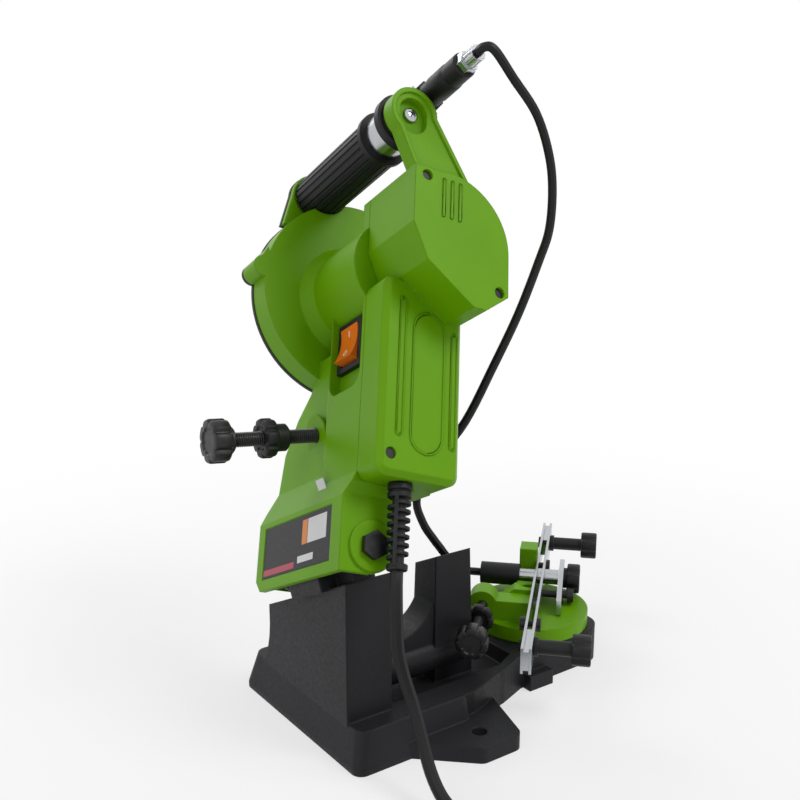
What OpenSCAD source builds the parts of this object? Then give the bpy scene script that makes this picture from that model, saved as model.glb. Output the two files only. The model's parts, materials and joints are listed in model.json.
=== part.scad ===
/* [Base casting] */
// Width of the plinth at the bench
plinth_w = 123; // [115:1:135]
// Inward draft of the plinth walls
plinth_draft = 4.5; // [2:0.5:7]
// Height of the plinth and front deck
plinth_h = 22; // [18:1:28]
// Distance from the bench bolts to the rear edge
plinth_rear = 70; // [68:1:80]
// Distance from the bench bolts to the nose
nose_front = 129; // [127:1:140]
// Width of the nose
nose_w = 74; // [70:1:84]
// Wall thickness of the casting
cast_wall = 5; // [4:0.5:7]
// Distance between the two bench bolts
bench_pitch = 145; // [142:1:155]
// Diameter of the bench bolt holes
bench_hole_d = 8.5; // [6:0.5:10]
// Thickness of the bench ears
ear_t = 9; // [6:0.5:12]
// Width of the rear post
post_w = 96; // [90:1:104]
// Front face of the post behind the bench bolts
post_front = 38; // [36:0.5:42]
// Rear face of the post at its foot
post_rear = 66; // [64:0.5:68]
// Width of the tower that stops the depth screw
tower_w = 18; // [14:1:22]
// Depth of the tower at its top
tower_d = 23; // [20:1:28]
// Place of the tower in front of the bench bolts
tower_y = 22.5; // [20:0.5:26]

/* [Hinge] */
// Height of the hinge axis at the middle of the machine
hinge_z = 94; // [88:1:104]
// Distance from the bench bolts back to the hinge axis
hinge_y = 54.5; // [52:0.5:58]
// Sideways tilt of the whole head
head_tilt = 26.5; // [20:0.5:32]
// Forward lean of the head at rest
head_lean = 20; // [15:1:25]
// Largest swing of the head towards the chain
head_swing = 60; // [50:1:61]
// Diameter of the hinge bolt
hinge_bolt_d = 10; // [8:1:12]
// Radius of the hinge barrel on the post
barrel_r = 11.5; // [10:0.5:12]
// Running clearance of shafts in their bores
run_fit = 0.06; // [0.03:0.01:0.1]
// Clearance between parts that move past each other
part_gap = 0.4; // [0.3:0.05:0.8]

/* [Head] */
// Length of the foot of the head along the hinge
foot_l = 99; // [95:1:104]
// Half depth of the foot of the head
foot_half_d = 17.7; // [17:0.1:20]
// Height of the wide foot below the slanted arm
foot_h = 31; // [27:1:34]
// Wall thickness of the moulded shells
shell_wall = 3; // [2:0.25:4]
// Distance of the parting plane from the middle of the hinge
parting_x = 61; // [58:1:64]
// Distance of the box cover from the middle of the hinge
box_x = 82; // [78:1:88]
// Depth of the box in front of the hinge axis
box_front = 36; // [32:1:40]
// Depth of the box behind the hinge axis
box_rear = 12; // [10:0.5:14]
// Height of the bottom of the box over the hinge
box_low = 31; // [29:1:34]
// Height of the motor axis over the hinge
motor_h = 152; // [146:1:158]
// Distance of the motor axis in front of the hinge axis
motor_front = 8.7; // [4:0.5:12]
// Radius of the motor drum
drum_r = 37.5; // [35:0.5:41]
// Distance of the drum face from the middle of the hinge
drum_x = 108; // [104:1:114]
// Radius of the moulded tube round the motor
motor_tube_r = 29; // [27:0.5:31]

/* [Wheel and guard] */
// Diameter of the grinding wheel
wheel_d = 100; // [96:1:101]
// Thickness of the grinding wheel
wheel_t = 3.2; // [2.5:0.1:4.5]
// Bore of the grinding wheel
wheel_bore = 23; // [20:0.5:26]
// Distance of the wheel plane from the middle of the hinge
wheel_x = 3.5; // [3:0.25:4]
// Radius of the guard
guard_r = 58.5; // [58:0.5:62]
// Width of the moulded guard
guard_w = 9.5; // [9:0.25:12]
// Thickness of the guard cover
cover_t = 2.5; // [2:0.25:3.5]
// Diameter of the motor shaft
shaft_d = 8; // [6:0.5:10]

/* [Handle and brake lever] */
// Height of the handle axis over the hinge
handle_h = 219; // [217:1:226]
// Distance of the handle axis behind the hinge axis
handle_rear = 13.5; // [10:0.5:16]
// Diameter of the rubber grip
grip_d = 28; // [27:0.5:31]
// Length of the rubber grip
grip_l = 81; // [74:1:82]
// Outer diameter of the handle tube
tube_d = 25; // [22:0.5:25.5]
// Radius of the round end of the wheel side handle lug
lug_r = 15.5; // [14.5:0.25:17]
// Radius of the round end of the motor side handle lug
motor_lug_r = 13.75; // [13:0.25:15]
// Thickness of the motor side handle lug
lug_t = 9; // [8.5:0.25:9.5]
// Distance of the lever bar from the handle axis
bar_offset = 26; // [25:0.5:30]
// Diameter of the lever bar
bar_d = 14; // [12:0.5:15]
// Length of the lever bar
bar_l = 41.5; // [38:0.5:46]
// Travel of the brake lever
lever_swing = 9; // [6:1:10]

/* [Depth screw] */
// Diameter of the depth screw
depth_rod_d = 8; // [6:0.5:9]
// Height of the screw boss over the hinge
depth_h = 68; // [66:0.5:70]
// Downward tilt of the screw towards the rear
depth_tilt = 13.7; // [10:0.5:16]
// Distance from the boss to the screw knob
depth_out = 65; // [58:1:70]
// Diameter of the screw knob
depth_knob_d = 23.5; // [20:0.5:26]
// Diameter of the lock knob
depth_lock_d = 21.5; // [18:0.5:24]

/* [Vise] */
// Place of the turntable in front of the bench bolts
vise_front = 96.5; // [94:0.5:98]
// Sideways place of the turntable
vise_x = -3.5; // [-5:0.5:-2]
// Radius of the turntable
table_r = 36; // [33:0.5:37]
// Thickness of the turntable
table_t = 9; // [7:0.5:10]
// Swivel of the vise as it stands
vise_swivel = 46; // [40:1:50]
// Length of the chain rail
rail_l = 198; // [180:1:206]
// Height of the chain rail
rail_h = 15; // [12:0.5:16]
// Thickness of each rail strip
rail_t = 1.5; // [1.2:0.1:2.4]
// Slot that the chain runs in
rail_slot = 3; // [1.6:0.1:3.4]
// Height of the rail over the deck
rail_lift = 13; // [12:0.5:15]
// Distance of the chain pegs from the middle of the rail
peg_x = 80; // [70:1:84]

/* [Cables] */
// Diameter of the mains cord
cord_d = 6.5; // [5.5:0.1:6.8]
// Diameter of the brake cable
cable_d = 5; // [4:0.1:5.4]
// Radius of the innermost loop of the put away cord
coil_in_r = 27.5; // [27.5:0.5:32]
// Loops of the put away cord
coil_turns = 7; // [5:2:9]

/* [Hidden] */
$fn = 48;
// Facet count of the shapes that are hulled
soft_fn = 32;
// Overrun of every cut
cut = 1;
plastic_green = "#6FA800";
plastic_black = "#2B2B2B";
cast_black = "#303033";
steel = "#C9CCD0";
// Ears, waist and corners of the casting
ear_margin = 15;
ear_x = bench_pitch / 2 + ear_margin;
ear_back = 34;
ear_out_back = 12;
ear_out_front = 13;
ear_front = 32;
ear_corner = 6;
waist_w = 90;
waist_front = 41;
waist_curve = [[56.5, 0], [56, 10], [53, 19], [49, 29], [46, 37]];
plinth_front = 6;
neck_w = 76;
neck_front = 60;
corner_r = 6;
nose_r = 14;
tray_floor = 12;
under_floor = tray_floor - cast_wall;
foot_block_l = 18;
foot_block_out = 6;
foot_block_h = 9;
foot_block_y = 71;
// Post, hinge barrel, stop lug and tower
post_in = 45.5;
post_out = 36;
post_flare = [[0, 26], [1, 18], [3, 11], [6.5, 4], [10.5, 0]];
seat_drop = 15;
barrel_in = 52;
barrel_out = 24;
neck_in = 43;
neck_front_d = 6.7;
neck_rear_d = 6;
stop_in = 26;
stop_out = 8;
stop_back = 16.5;
stop_top = 7;
tower_drop = 13.7;
tower_x = -10;
tower_flare = 2;
spine_r = 11;
spine_z = plinth_h + spine_r - corner_r;
spine_half = 2;
saddle_r = 27;
saddle_y = 15;
saddle_z = 71;
hook_r = 5.5;
big = 400;
swing_lean = head_lean + head_swing;

function both_sides(half) =
  concat(half, [for (i = [len(half) - 1 : -1 : 0]) [-half[i].x, half[i].y]]);

// Frame of the slanted hinge: X along its axis, Y to the rear
module slant() {
  translate([0, hinge_y, hinge_z]) rotate([0, head_tilt, 0]) children();
}

// Frame of the head, leaning forward at rest
module in_head() {
  slant() rotate([head_lean, 0, 0]) children();
}

// Lays a profile of Y and Z along X from one place to another
module along_x(from, to) {
  translate([from, 0, 0]) rotate([90, 0, 90]) linear_extrude(to - from) children();
}

// Round bar along X
module rod_x(from, to, r) {
  translate([from, 0, 0]) rotate([0, 90, 0]) cylinder(r = r, h = to - from);
}

module tapered_block(w, y_rear, y_front, z0, z1, draft, draft_rear) {
  hull() for (side = [-1, 1], end = [0, 1]) {
    x = w / 2 - corner_r - end * draft;
    z = end == 0 ? z0 : z1 - corner_r / 2;
    for (y = [y_rear - corner_r - end * draft_rear, y_front + corner_r])
      translate([side * x, y, z]) cylinder(r = corner_r, h = corner_r / 2, $fn = soft_fn);
  }
}

module front_outline(inset) {
  w = nose_w / 2 - inset;
  corner = nose_r - inset;
  front = nose_front - inset;
  polygon(both_sides(concat([for (p = waist_curve) [p.x - inset, -p.y]], [[waist_w / 2 - inset,
    -waist_front],
    [neck_w / 2 - inset, -neck_front],
    [w, -(front - corner)], [w - corner, -front]])));
  for (side = [-1, 1]) translate([side * (w - corner), -(front - corner)]) circle(r = corner);
}

module ear_plate() {
  hull() for (side = [-1, 1]) {
    for (p = [[ear_x - ear_corner, ear_out_back - ear_corner], [ear_x - ear_corner, -ear_out_front],
        [plinth_w / 2 - ear_corner, ear_back], [waist_w / 2 - ear_corner, ear_corner - ear_front]])
      translate([side * p.x, p.y, 0]) cylinder(r = ear_corner, h = ear_t, $fn = soft_fn);
  }
}

module above_seat(drop) {
  slant() translate([-big / 2, -big / 2, -drop]) cube(big);
}

module post_outline(inset) {
  top = hinge_z + post_w / 2;
  polygon(concat([[inset - post_in, 0], [inset - post_in, top], [post_out - inset, top]],
    [for (p = post_flare) [post_out - inset + p.x, plinth_h + p.y]],
      [[post_out + post_flare[len(post_flare) - 1].x - inset, 0]]));
}

module post_shell() {
  difference() {
    translate([0, 0, -cut]) along_y(post_front, post_rear) post_outline(0);
    translate([-big / 2, 0, -big]) cube([big, big, big + plinth_h - 2 * cut]);
    above_seat(seat_drop);
  }
}

module post_hollow() {
  difference() {
    translate([0, 0, -cut]) along_y(post_front + cast_wall, post_rear - cast_wall) post_outline(cast_wall);
    above_seat(seat_drop + cast_wall);
  }
}

// Stop tower, with the cast hook that holds the brake cable on its far side
module tower() {
  difference() {
    union() {
      hull() {
        translate([tower_x - tower_w / 2 - tower_flare, -tower_y - tower_d / 2 - tower_flare, under_floor])
          cube([tower_w + 2 * tower_flare, tower_d + 2 * tower_flare, plinth_h]);
        translate([tower_x - tower_w / 2, -tower_y - tower_d / 2, hinge_z])
          cube([tower_w, tower_d, plinth_h]);
      }
      translate(hook_at) rotate(hook_turn) cylinder(r = hook_r, h = hook_l, center = true);
    }
    above_seat(tower_drop);
    translate(hook_at) rotate(hook_turn)
      cylinder(d = cable_d + 2 * part_gap, h = hook_l + 2 * cut, center = true);
  }
}

// Rounded spine from the post to the tower, with its saddle
module spine() {
  hull() for (side = [-1, 1])
    translate([tower_x + side * spine_half, post_front + cast_wall, spine_z]) rotate([90, 0, 0])
      cylinder(r = spine_r, h = post_front + cast_wall + tower_y + tower_d / 3, $fn = soft_fn);
  difference() {
    along_x(tower_x - tower_w / 2, tower_x + tower_w / 2)
      polygon([[post_front + cast_wall, spine_z], [post_front + cast_wall, saddle_z - corner_r],
        [-tower_y, saddle_z - corner_r], [-tower_y, spine_z]]);
    translate([tower_x - big / 2, saddle_y, saddle_z]) rotate([0, 90, 0])
      cylinder(r = saddle_r, h = big);
  }
}

module base_casting() {
  color(cast_black) difference() {
    union() {
      tapered_block(plinth_w, plinth_rear, -plinth_front, 0, plinth_h, plinth_draft, plinth_draft);
      linear_extrude(plinth_h) front_outline(0);
      ear_plate();
      for (side = [-1, 1]) translate([side * neck_w / 2 - foot_block_out,
        -foot_block_y - foot_block_l / 2, 0])
        cube([2 * foot_block_out, foot_block_l, foot_block_h]);
      post_shell();
      slant() {
        translate([-neck_in, -neck_front_d, -seat_drop - cut])
          cube([neck_in + barrel_out, neck_front_d + neck_rear_d, seat_drop + cut]);
        rod_x(-barrel_in, barrel_out, barrel_r);
        translate([-stop_in, 0, -seat_drop - cut])
          cube([stop_in + stop_out, stop_back, seat_drop + cut - stop_top]);
      }
    }
    post_hollow();
    translate([0, 0, tray_floor]) linear_extrude(plinth_h)
      polygon(both_sides([[waist_w / 2 - cast_wall, post_front - cast_wall],
        [waist_w / 2 - cast_wall, -waist_front], [neck_w / 2 - cast_wall, cast_wall - neck_front]]));
    translate([-plinth_w / 2 + plinth_draft + cast_wall, 0, -cut])
      cube([plinth_w - 2 * plinth_draft - 2 * cast_wall,
        plinth_rear - plinth_draft - cast_wall, under_floor + cut]);
    translate([0, 0, -cut]) linear_extrude(under_floor + cut) front_outline(cast_wall);
    for (side = [-1, 1]) translate([side * bench_pitch / 2, 0, -cut])
      cylinder(d = bench_hole_d, h = ear_t + 2 * cut);
    slant() rod_x(-barrel_in - cut, barrel_out + cut, hinge_bolt_d / 2 + run_fit);
    swivel_bore();
  }
  color(cast_black) tower_and_spine();
}

module tower_and_spine() {
  difference() {
    union() {
      tower();
      spine();
    }
    post_hollow();
    translate([tower_x - big / 2, -big / 2, -big]) cube([big, big, big + under_floor]);
    above_seat(tower_drop);
    in_vise() translate([0, stop_y, stop_z])
      rod_x(stop_end + stop_knob_t, stop_lock_at, stop_rod_d / 2 + part_gap);
  }
}

// Head shell: foot, slanted arm and the block that the switch sits in
foot_low = 14;
foot_end = foot_l - parting_x + shell_wall;
foot_in = parting_x - shell_wall;
foot_front = 14;
foot_open = 5;
arm_front = 22;
arm_back = 9;
arm_bend = 24;
arm_bend_top = 43;
arm_mid_x = 33;
arm_mid_h = 65;
arm_high_x = 19;
arm_high_h = 83;
arm_side_x = 4;
arm_side_h = 95;
arm_top_h = 112;
guard_in = -6;
far_lug_x = 5.5;
boss_x = -8;
block_in = 21;
block_top = 138;
barrel_room = 1.6;
cheek = 3.5;
edge_r = 6;
boss_ring_r = 13;
boss_ring_t = 1.5;
label_w = 80;
label_h = 29;
label_x = -7;
label_z = 6.5;
label_sunk = 0.6;
// Recess of the switch
recess_in = 58;
recess_side = 24;
recess_low = 84;
recess_floor = 5;
recess_r = (recess_in - recess_side) / 2;
switch_w = 22;
switch_h = 25;
switch_z = 112;
switch_x = -37.5;
bezel = 1.6;
rocker_gap = 0.35;
switch_d = 20;
rocker_r = 26;
// Motor drum: a straight rear edge, two screw ears and a round front
drum_back = 21;
drum_back_low = 4;
drum_ear_top = 36.5;
drum_ear_side = 6;
drum_low = 34;
drum_low_in = 16;
drum_bevel = 15;
drum_bevel_in = 12;
drum_ear_low = 23.5;
drum_ear_in = 24;
drum_behind = 7;
tube_end_wall = 2;
case_hole_d = 6;
case_hole_t = 5;
case_top_hole = [13.8, 32];
case_low_hole = [-32, -22];
case_box_hole_y = 5;
case_box_hole_z = 42;
// Places along the shaft
shaft_out = 96.8;
bearing_d = 22;
bearing_t = 7;
bearing_race = 2.2;
rear_bearing_x = -97;
front_bearing_x = -14;
sleeve_t = 1.5;
commutator_x = -76;
commutator_l = 12;
commutator_d = 24;
core_x = -54;
core_l = 22;
core_r = 15;
winding_over = 4;
winding_r = 13;
slots = 12;
stator_gap = 0.6;
stator_r = 24.5;
fan_x = -27;
fan_l = 9;
fan_r = 22;
blades = 9;
blade_t = 1.5;
brush_x = -70;
brush_w = 8;
brush_wall = 1.2;
brush_l = 9;
brush_end = 24;

// Axis of the motor and wheel, with Y to the rear and Z up
module on_motor() {
  translate([0, -motor_front, motor_h]) children();
}

// Lays a profile of X and Z along Y from one place to another
module along_y(from, to) {
  translate([0, to, 0]) rotate([90, 0, 0]) linear_extrude(to - from) children();
}

module ring_x(from, to, r_out, r_in) {
  translate([from, 0, 0]) rotate([0, 90, 0]) difference() {
    cylinder(r = r_out, h = to - from);
    translate([0, 0, -cut]) cylinder(r = r_in, h = to - from + 2 * cut);
  }
}

module drum_outline(inset) {
  r = drum_r - inset;
  back = drum_back - inset;
  low = drum_low - inset;
  polygon([[back, drum_ear_top - inset], [back, drum_back_low], [drum_bevel_in - inset, -drum_bevel],
    [-drum_low_in, -low], [-drum_ear_in, inset - drum_low], [-r, -drum_ear_low], [-r, 0], [0, 0],
    [0, r], [drum_ear_side, drum_ear_top - inset]]);
  intersection() {
    circle(r = r);
    translate([-r, 0]) square(r);
  }
}

module arm_side_profile() {
  polygon([[foot_half_d, -foot_low], [foot_half_d, arm_bend], [arm_back, arm_bend_top],
    [arm_back, arm_top_h], [-arm_front, arm_top_h], [-arm_front, box_low], [-foot_front,
      arm_bend - foot_open],
    [-foot_front, 0], [0, -foot_low]]);
}

module arm_front_profile() {
  polygon([[-foot_in, -foot_low], [foot_end - edge_r, -foot_low], [foot_end, edge_r - foot_low],
    [foot_end, foot_h], [arm_mid_x, arm_mid_h], [arm_high_x, arm_high_h], [arm_side_x, arm_side_h],
    [guard_in, arm_top_h],
    [-parting_x, arm_top_h], [-parting_x, box_low], [-foot_in, box_low - edge_r]]);
}

module foot_cheeks_round() {
  along_x(-foot_in, foot_end) {
    circle(r = foot_front - part_gap);
    polygon([[foot_half_d, -foot_low], [foot_half_d, edge_r], [-foot_front, edge_r], [-foot_front,
      foot_open],
      [0, 0], [0, -foot_low]]);
  }
}

module arm_solid() {
  intersection() {
    along_x(-parting_x, foot_end) {
      difference() {
        arm_side_profile();
        translate([-big, -big]) square([big, big + foot_open]);
      }
    }
    along_y(-big, big) arm_front_profile();
  }
  intersection() {
    foot_cheeks_round();
    along_y(-big, big) arm_front_profile();
  }
}

module block_solid() {
  hull() for (x = [-parting_x + edge_r / 2, -block_in - edge_r / 2], y = [edge_r - box_front,
    box_rear - edge_r / 2])
    translate([x, y, box_low]) cylinder(r = edge_r / 2, h = block_top - box_low, $fn = soft_fn);
  translate([-parting_x, edge_r - box_front, box_low])
    cube([edge_r, box_front + box_rear - edge_r, block_top - box_low]);
}

module foot_cavity() {
  along_x(cheek - foot_in, foot_end - cheek) {
    circle(r = barrel_r + barrel_room);
    translate([-big, -big]) square([big + foot_half_d - cheek, big + foot_open]);
  }
}

module recess() {
  difference() {
    translate([0, recess_floor, 0]) along_y(0, big) {
      translate([-recess_in, recess_low + recess_r / 2])
        square([recess_in - recess_side, block_top - recess_low]);
      for (x = [recess_r / 2 - recess_in, -recess_side - recess_r / 2])
        translate([x, recess_low + recess_r / 2]) circle(r = recess_r / 2);
      translate([recess_r / 2 - recess_in, recess_low]) square([recess_r, recess_r]);
    }
    on_motor() {
      rod_x(-parting_x, 0, motor_tube_r);
      along_x(-parting_x - cut, drum_behind - parting_x + part_gap) drum_outline(-part_gap);
    }
  }
}

module depth_axis() {
  translate([boss_x, arm_back, depth_h]) rotate([-depth_tilt, 0, 0]) children();
}

module handle_axis() {
  translate([0, handle_rear, handle_h]) children();
}

// Guard, its cut front and the lug for the handle
guard_cut = 30;
guard_turn = 10;
guard_off = [-2.5, 4];
saddle_wall = 2;
screw_lug_r = 6;
screw_lug_at = [57, 9];
hub_r = 15;
lug_low = 45;
lug_foot = 20;

module guard_outline(inset) {
  difference() {
    union() {
      translate(guard_off) circle(r = guard_r - inset);
      if (inset <= 0) {
        translate(screw_lug_at) circle(r = screw_lug_r);
        polygon([[guard_r / 2, -guard_r / 2], [guard_r - screw_lug_r / 2,
          screw_lug_at.y + 2 * screw_lug_r],
          [screw_lug_at.x + screw_lug_r / 2, screw_lug_at.y + screw_lug_r / 2],
          [screw_lug_at.x - screw_lug_r / 2, screw_lug_at.y - screw_lug_r], [guard_r / 2,
            -guard_r * 2 / 3]]);
      }
    }
    rotate(guard_turn) translate([-guard_cut - big, -big / 2]) square([big, big]);
  }
}

module handle_lug_outline(inset) {
  reach = handle_h - motor_h;
  back = handle_rear + motor_front;
  r = lug_r - inset;
  translate([back, reach]) circle(r = r);
  polygon([[back - r, reach], [back + r, reach], [back + lug_foot - inset, lug_low],
    [inset - lug_foot + back, lug_low]]);
}

module arm_housing() {
  color(plastic_green) in_head() difference() {
    union() {
      arm_solid();
      block_solid();
      on_motor() {
        rod_x(-parting_x, guard_in, motor_tube_r);
        translate([guard_in - flare_l, 0, 0]) rotate([0, 90, 0]) cylinder(r1 = motor_tube_r,
          r2 = flare_r, h = flare_l);
        along_x(-parting_x, drum_behind - parting_x) drum_outline(0);
        along_x(guard_in, guard_w) guard_outline(0);
        along_x(far_lug_x, guard_w) handle_lug_outline(0);
      }
      depth_axis() rotate([-90, 0, 0]) cylinder(r = boss_ring_r - boss_ring_t, h = boss_ring_t);
      rod_x(-foot_in - boss_ring_t, -foot_in, boss_ring_r);
    }
    foot_cavity();
    recess();
    wheel_chamber();
    handle_axis() rod_x(guard_in - cut, far_lug_x + cut, grip_d / 2 + part_gap);
    on_motor() {
      rod_x(tube_end_wall - parting_x, front_bearing_x, motor_tube_r - shell_wall);
      along_x(-parting_x - cut, drum_behind - shell_wall - parting_x) drum_outline(shell_wall);
      rod_x(front_bearing_x - cut, front_bearing_x + bearing_t + part_gap, bearing_d / 2 + sleeve_t);
      rod_x(front_bearing_x, guard_w + cut, shaft_d / 2 + 2 * part_gap);
    }
    translate([-parting_x - cut, shell_wall - box_front, box_low + shell_wall])
      cube([parting_x - block_in - shell_wall + cut, box_front + recess_floor - 2 * shell_wall,
        block_top - box_low - 2 * shell_wall]);
    switch_place() translate([-switch_w / 2, -big / 2, -switch_h / 2]) cube([switch_w, big / 2, switch_h]);
    rod_x(-big, big, hinge_bolt_d / 2 + run_fit);
    depth_axis() rotate([90, 0, 0]) cylinder(d = depth_rod_d + 2 * run_fit, h = big, center = true);
    translate([label_x - label_w / 2, foot_half_d - label_sunk, label_z - label_h / 2])
      cube([label_w, label_sunk + cut, label_h]);
    handle_axis() rod_x(far_lug_x - cut, guard_w + cut, tube_d / 2 + run_fit);
  }
}

// Hollow round the wheel, with a saddle left under the end of the handle
module wheel_chamber() {
  difference() {
    on_motor() along_x(guard_in + shell_wall, guard_w + cut) guard_outline(shell_wall);
    handle_axis() rod_x(guard_in, guard_w + 2 * cut, grip_d / 2 + part_gap + saddle_wall);
  }
}

module switch_place() {
  translate([switch_x, recess_floor, switch_z]) children();
}

module motor_cover() {
  color(plastic_green) in_head() difference() {
    union() {
      hull() for (y = [edge_r - box_front, box_rear - edge_r], z = [box_low + edge_r,
        block_top - edge_r]) {
        translate([0, y, z]) rod_x(edge_r / 2 - box_x, -parting_x - part_gap / 2, edge_r, $fn = soft_fn);
        translate([0, y, z]) rod_x(-box_x, -parting_x - part_gap, edge_r / 2, $fn = soft_fn);
      }
      on_motor() along_x(-drum_x, -parting_x - part_gap / 2) drum_outline(0);
      motor_lug();
    }
    translate([shell_wall - box_x, shell_wall - box_front, box_low + shell_wall])
      cube([box_x - parting_x, box_front + box_rear - 2 * shell_wall,
        block_top - box_low - 2 * shell_wall]);
    on_motor() difference() {
      along_x(shell_wall - drum_x, -parting_x + cut) drum_outline(shell_wall);
      rod_x(-drum_x, rear_bearing_x + bearing_t, bearing_d / 2 + 2 * sleeve_t);
    }
    on_motor() {
      rod_x(rear_bearing_x, -parting_x, bearing_d / 2 + sleeve_t);
      for (p = [case_top_hole, case_low_hole]) translate([0, p.x, p.y])
        rod_x(-drum_x - cut, -drum_x + case_hole_t, case_hole_d / 2);
    }
    translate([0, case_box_hole_y, case_box_hole_z]) rod_x(-box_x - cut, -box_x + case_hole_t / 2,
      case_hole_d / 2);
    handle_axis() rod_x(-lug_out + lug_skin, -lug_out + lug_t + cut, tube_d / 2 + run_fit);
    handle_axis() {
      rod_x(-lug_out - cut, -lug_out + lug_skin + cut, handle_screw_d / 2 + run_fit);
      for (slide = [0, socket_slide]) translate([0, 0, -slide])
        rod_x(-lug_out - cut, -lug_out + socket_deep, socket_r);
    }
    on_motor() difference() {
      along_x(-lug_out - cut, -lug_out + lug_sunk) motor_lug_outline(lug_rim);
      along_x(-drum_x - cut, 0) drum_outline(0);
    }
    translate([relief_x, relief_y, box_low - cut]) cylinder(d = relief_d, h = shell_wall + 2 * cut);
  }
}

lug_out = 107;
lug_skin = 7.5;
handle_screw_d = 5;
lug_foot_rear = 16;
lug_foot_front = 22;
front_boss_r = bearing_d / 2 + 2 * sleeve_t;
relief_x = -70;
relief_y = -8;
relief_d = 10;
relief_collar_d = 13;
relief_l = 44;
relief_ribs = 9;
relief_rib_t = 2.2;
relief_core_d = 9.4;

module motor_lug_outline(inset) {
  back = motor_front + handle_rear;
  reach = handle_h - motor_h;
  translate([back, reach]) circle(r = motor_lug_r - inset);
  polygon([[back - motor_lug_r + inset, reach], [back + motor_lug_r - inset, reach],
    [drum_back - lug_foot_rear / 2 - inset, drum_back], [inset - lug_foot_front, drum_back]]);
}

module motor_lug() {
  on_motor() along_x(-lug_out, lug_t - lug_out) motor_lug_outline(0);
}

module guard_cover() {
  color(plastic_black) in_head() on_motor() difference() {
    union() {
      along_x(guard_w + part_gap / 4, guard_w + cover_t) guard_outline(-part_gap);
      along_x(guard_w + part_gap / 4, guard_w + cover_t) handle_lug_outline(-part_gap);
    }
    rod_x(guard_w - cut, guard_w + cover_t + cut, flange_r + cover_t);
    translate(screw_lug_at_x()) rod_x(guard_w - cut, guard_w + cover_t + cut, case_screw_d / 2 + run_fit);
    translate([0, handle_rear + motor_front, handle_h - motor_h])
      rod_x(guard_w - cut, guard_w + cover_t + cut, handle_screw_d / 2 + run_fit);
  }
}

function screw_lug_at_x() = [0, screw_lug_at.x, screw_lug_at.y];
case_screw_d = 3.5;
flange_r = 17;
flange_t = 3;
spigot = 1.4;
screw_head_r = 5;
screw_head_h = 3.2;
screw_d = 5;

module grinding_wheel() {
  color("#B8866B") in_head() on_motor() {
    ring_x(wheel_x - wheel_t / 2, wheel_x + wheel_t / 2, wheel_d / 2, wheel_bore / 2);
  }
}

// Flanges on both sides of the wheel, the inner with a spigot through the wheel bore
module wheel_flanges() {
  a = wheel_x - wheel_t / 2;
  b = wheel_x + wheel_t / 2;
  color(steel) in_head() on_motor() {
    ring_x(a - flange_t, a, flange_r, shaft_d / 2);
    ring_x(a, b - spigot / 2, wheel_bore / 2, shaft_d / 2);
    ring_x(b, b + flange_t, flange_r, screw_d / 2);
  }
}

module flange_screw() {
  b = wheel_x + wheel_t / 2 + flange_t;
  color(plastic_black) in_head() on_motor() difference() {
    union() {
      rod_x(b, b + screw_head_h, screw_head_r);
      rod_x(shaft_end - shaft_screw_l, b, screw_d / 2);
    }
    rod_x(b + screw_head_h / 2, b + screw_head_h + cut, screw_d / 2, $fn = 6);
  }
}
shaft_screw_l = 14;
shaft_end = wheel_x + wheel_t / 2 - spigot / 2;

module motor_shaft() {
  color(steel) in_head() on_motor() difference() {
    rod_x(-shaft_out, shaft_end, shaft_d / 2);
    rod_x(shaft_end - shaft_screw_l, shaft_end + cut, screw_d / 2);
  }
}

// Slotted core of the armature
module armature_core() {
  color("#8A8D90") in_head() on_motor() along_x(core_x, core_x + core_l) difference() {
    circle(r = core_r);
    circle(d = shaft_d);
    for (i = [0 : slots - 1]) rotate(i * 360 / slots) translate([core_r - slot_deep, -slot_w / 2])
      square([slot_deep + cut, slot_w]);
  }
}
slot_deep = 5;
slot_w = 2.4;

module armature_windings() {
  color("#B5652B") in_head() on_motor() {
    for (x = [core_x - winding_over, core_x + core_l]) ring_x(x, x + winding_over, winding_r, shaft_d / 2);
    for (i = [0 : slots - 1]) rotate([i * 360 / slots, 0, 0])
      translate([core_x, core_r - slot_deep, -slot_w / 2]) cube([core_l, slot_deep - cut, slot_w]);
  }
}

module commutator() {
  color("#C98A4B") in_head() on_motor() along_x(commutator_x, commutator_x + commutator_l) difference() {
    circle(d = commutator_d);
    circle(d = shaft_d);
    for (i = [0 : 2 * slots - 1]) rotate(i * 180 / slots) translate([commutator_d / 2 - bar_gap,
      -bar_gap / 4])
      square([bar_gap + cut, bar_gap / 2]);
  }
}
bar_gap = 1;

module cooling_fan() {
  color("#E8E4D8") in_head() on_motor() difference() {
    union() {
      rod_x(fan_x, fan_x + blade_t, fan_r);
      rod_x(fan_x, fan_x + fan_l, shaft_d);
      for (i = [0 : blades - 1]) rotate([i * 360 / blades, 0, 0])
        translate([fan_x + blade_t / 2, shaft_d - blade_t, -blade_t / 2])
          cube([fan_l - blade_t, fan_r - shaft_d, blade_t]);
    }
    rod_x(fan_x - cut, fan_x + fan_l + cut, shaft_d / 2);
  }
}

module stator_core() {
  color("#777B80") in_head() on_motor() along_x(core_x, core_x + core_l) difference() {
    circle(r = motor_tube_r - shell_wall);
    circle(r = core_r + stator_gap);
    for (side = [0, 180]) rotate(side) translate([coil_in, -coil_w / 2]) square([coil_deep, coil_w]);
  }
}
coil_in = 17;
coil_w = 22;
coil_deep = 6;
coil_out = 4;

module field_coils() {
  color("#A65A22") in_head() on_motor() for (side = [0, 180]) rotate([side, 0, 0])
    translate([core_x - coil_out, coil_in + part_gap / 2, part_gap / 2 - coil_w / 2])
      cube([core_l + 2 * coil_out, coil_deep - part_gap, coil_w - part_gap]);
}

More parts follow.
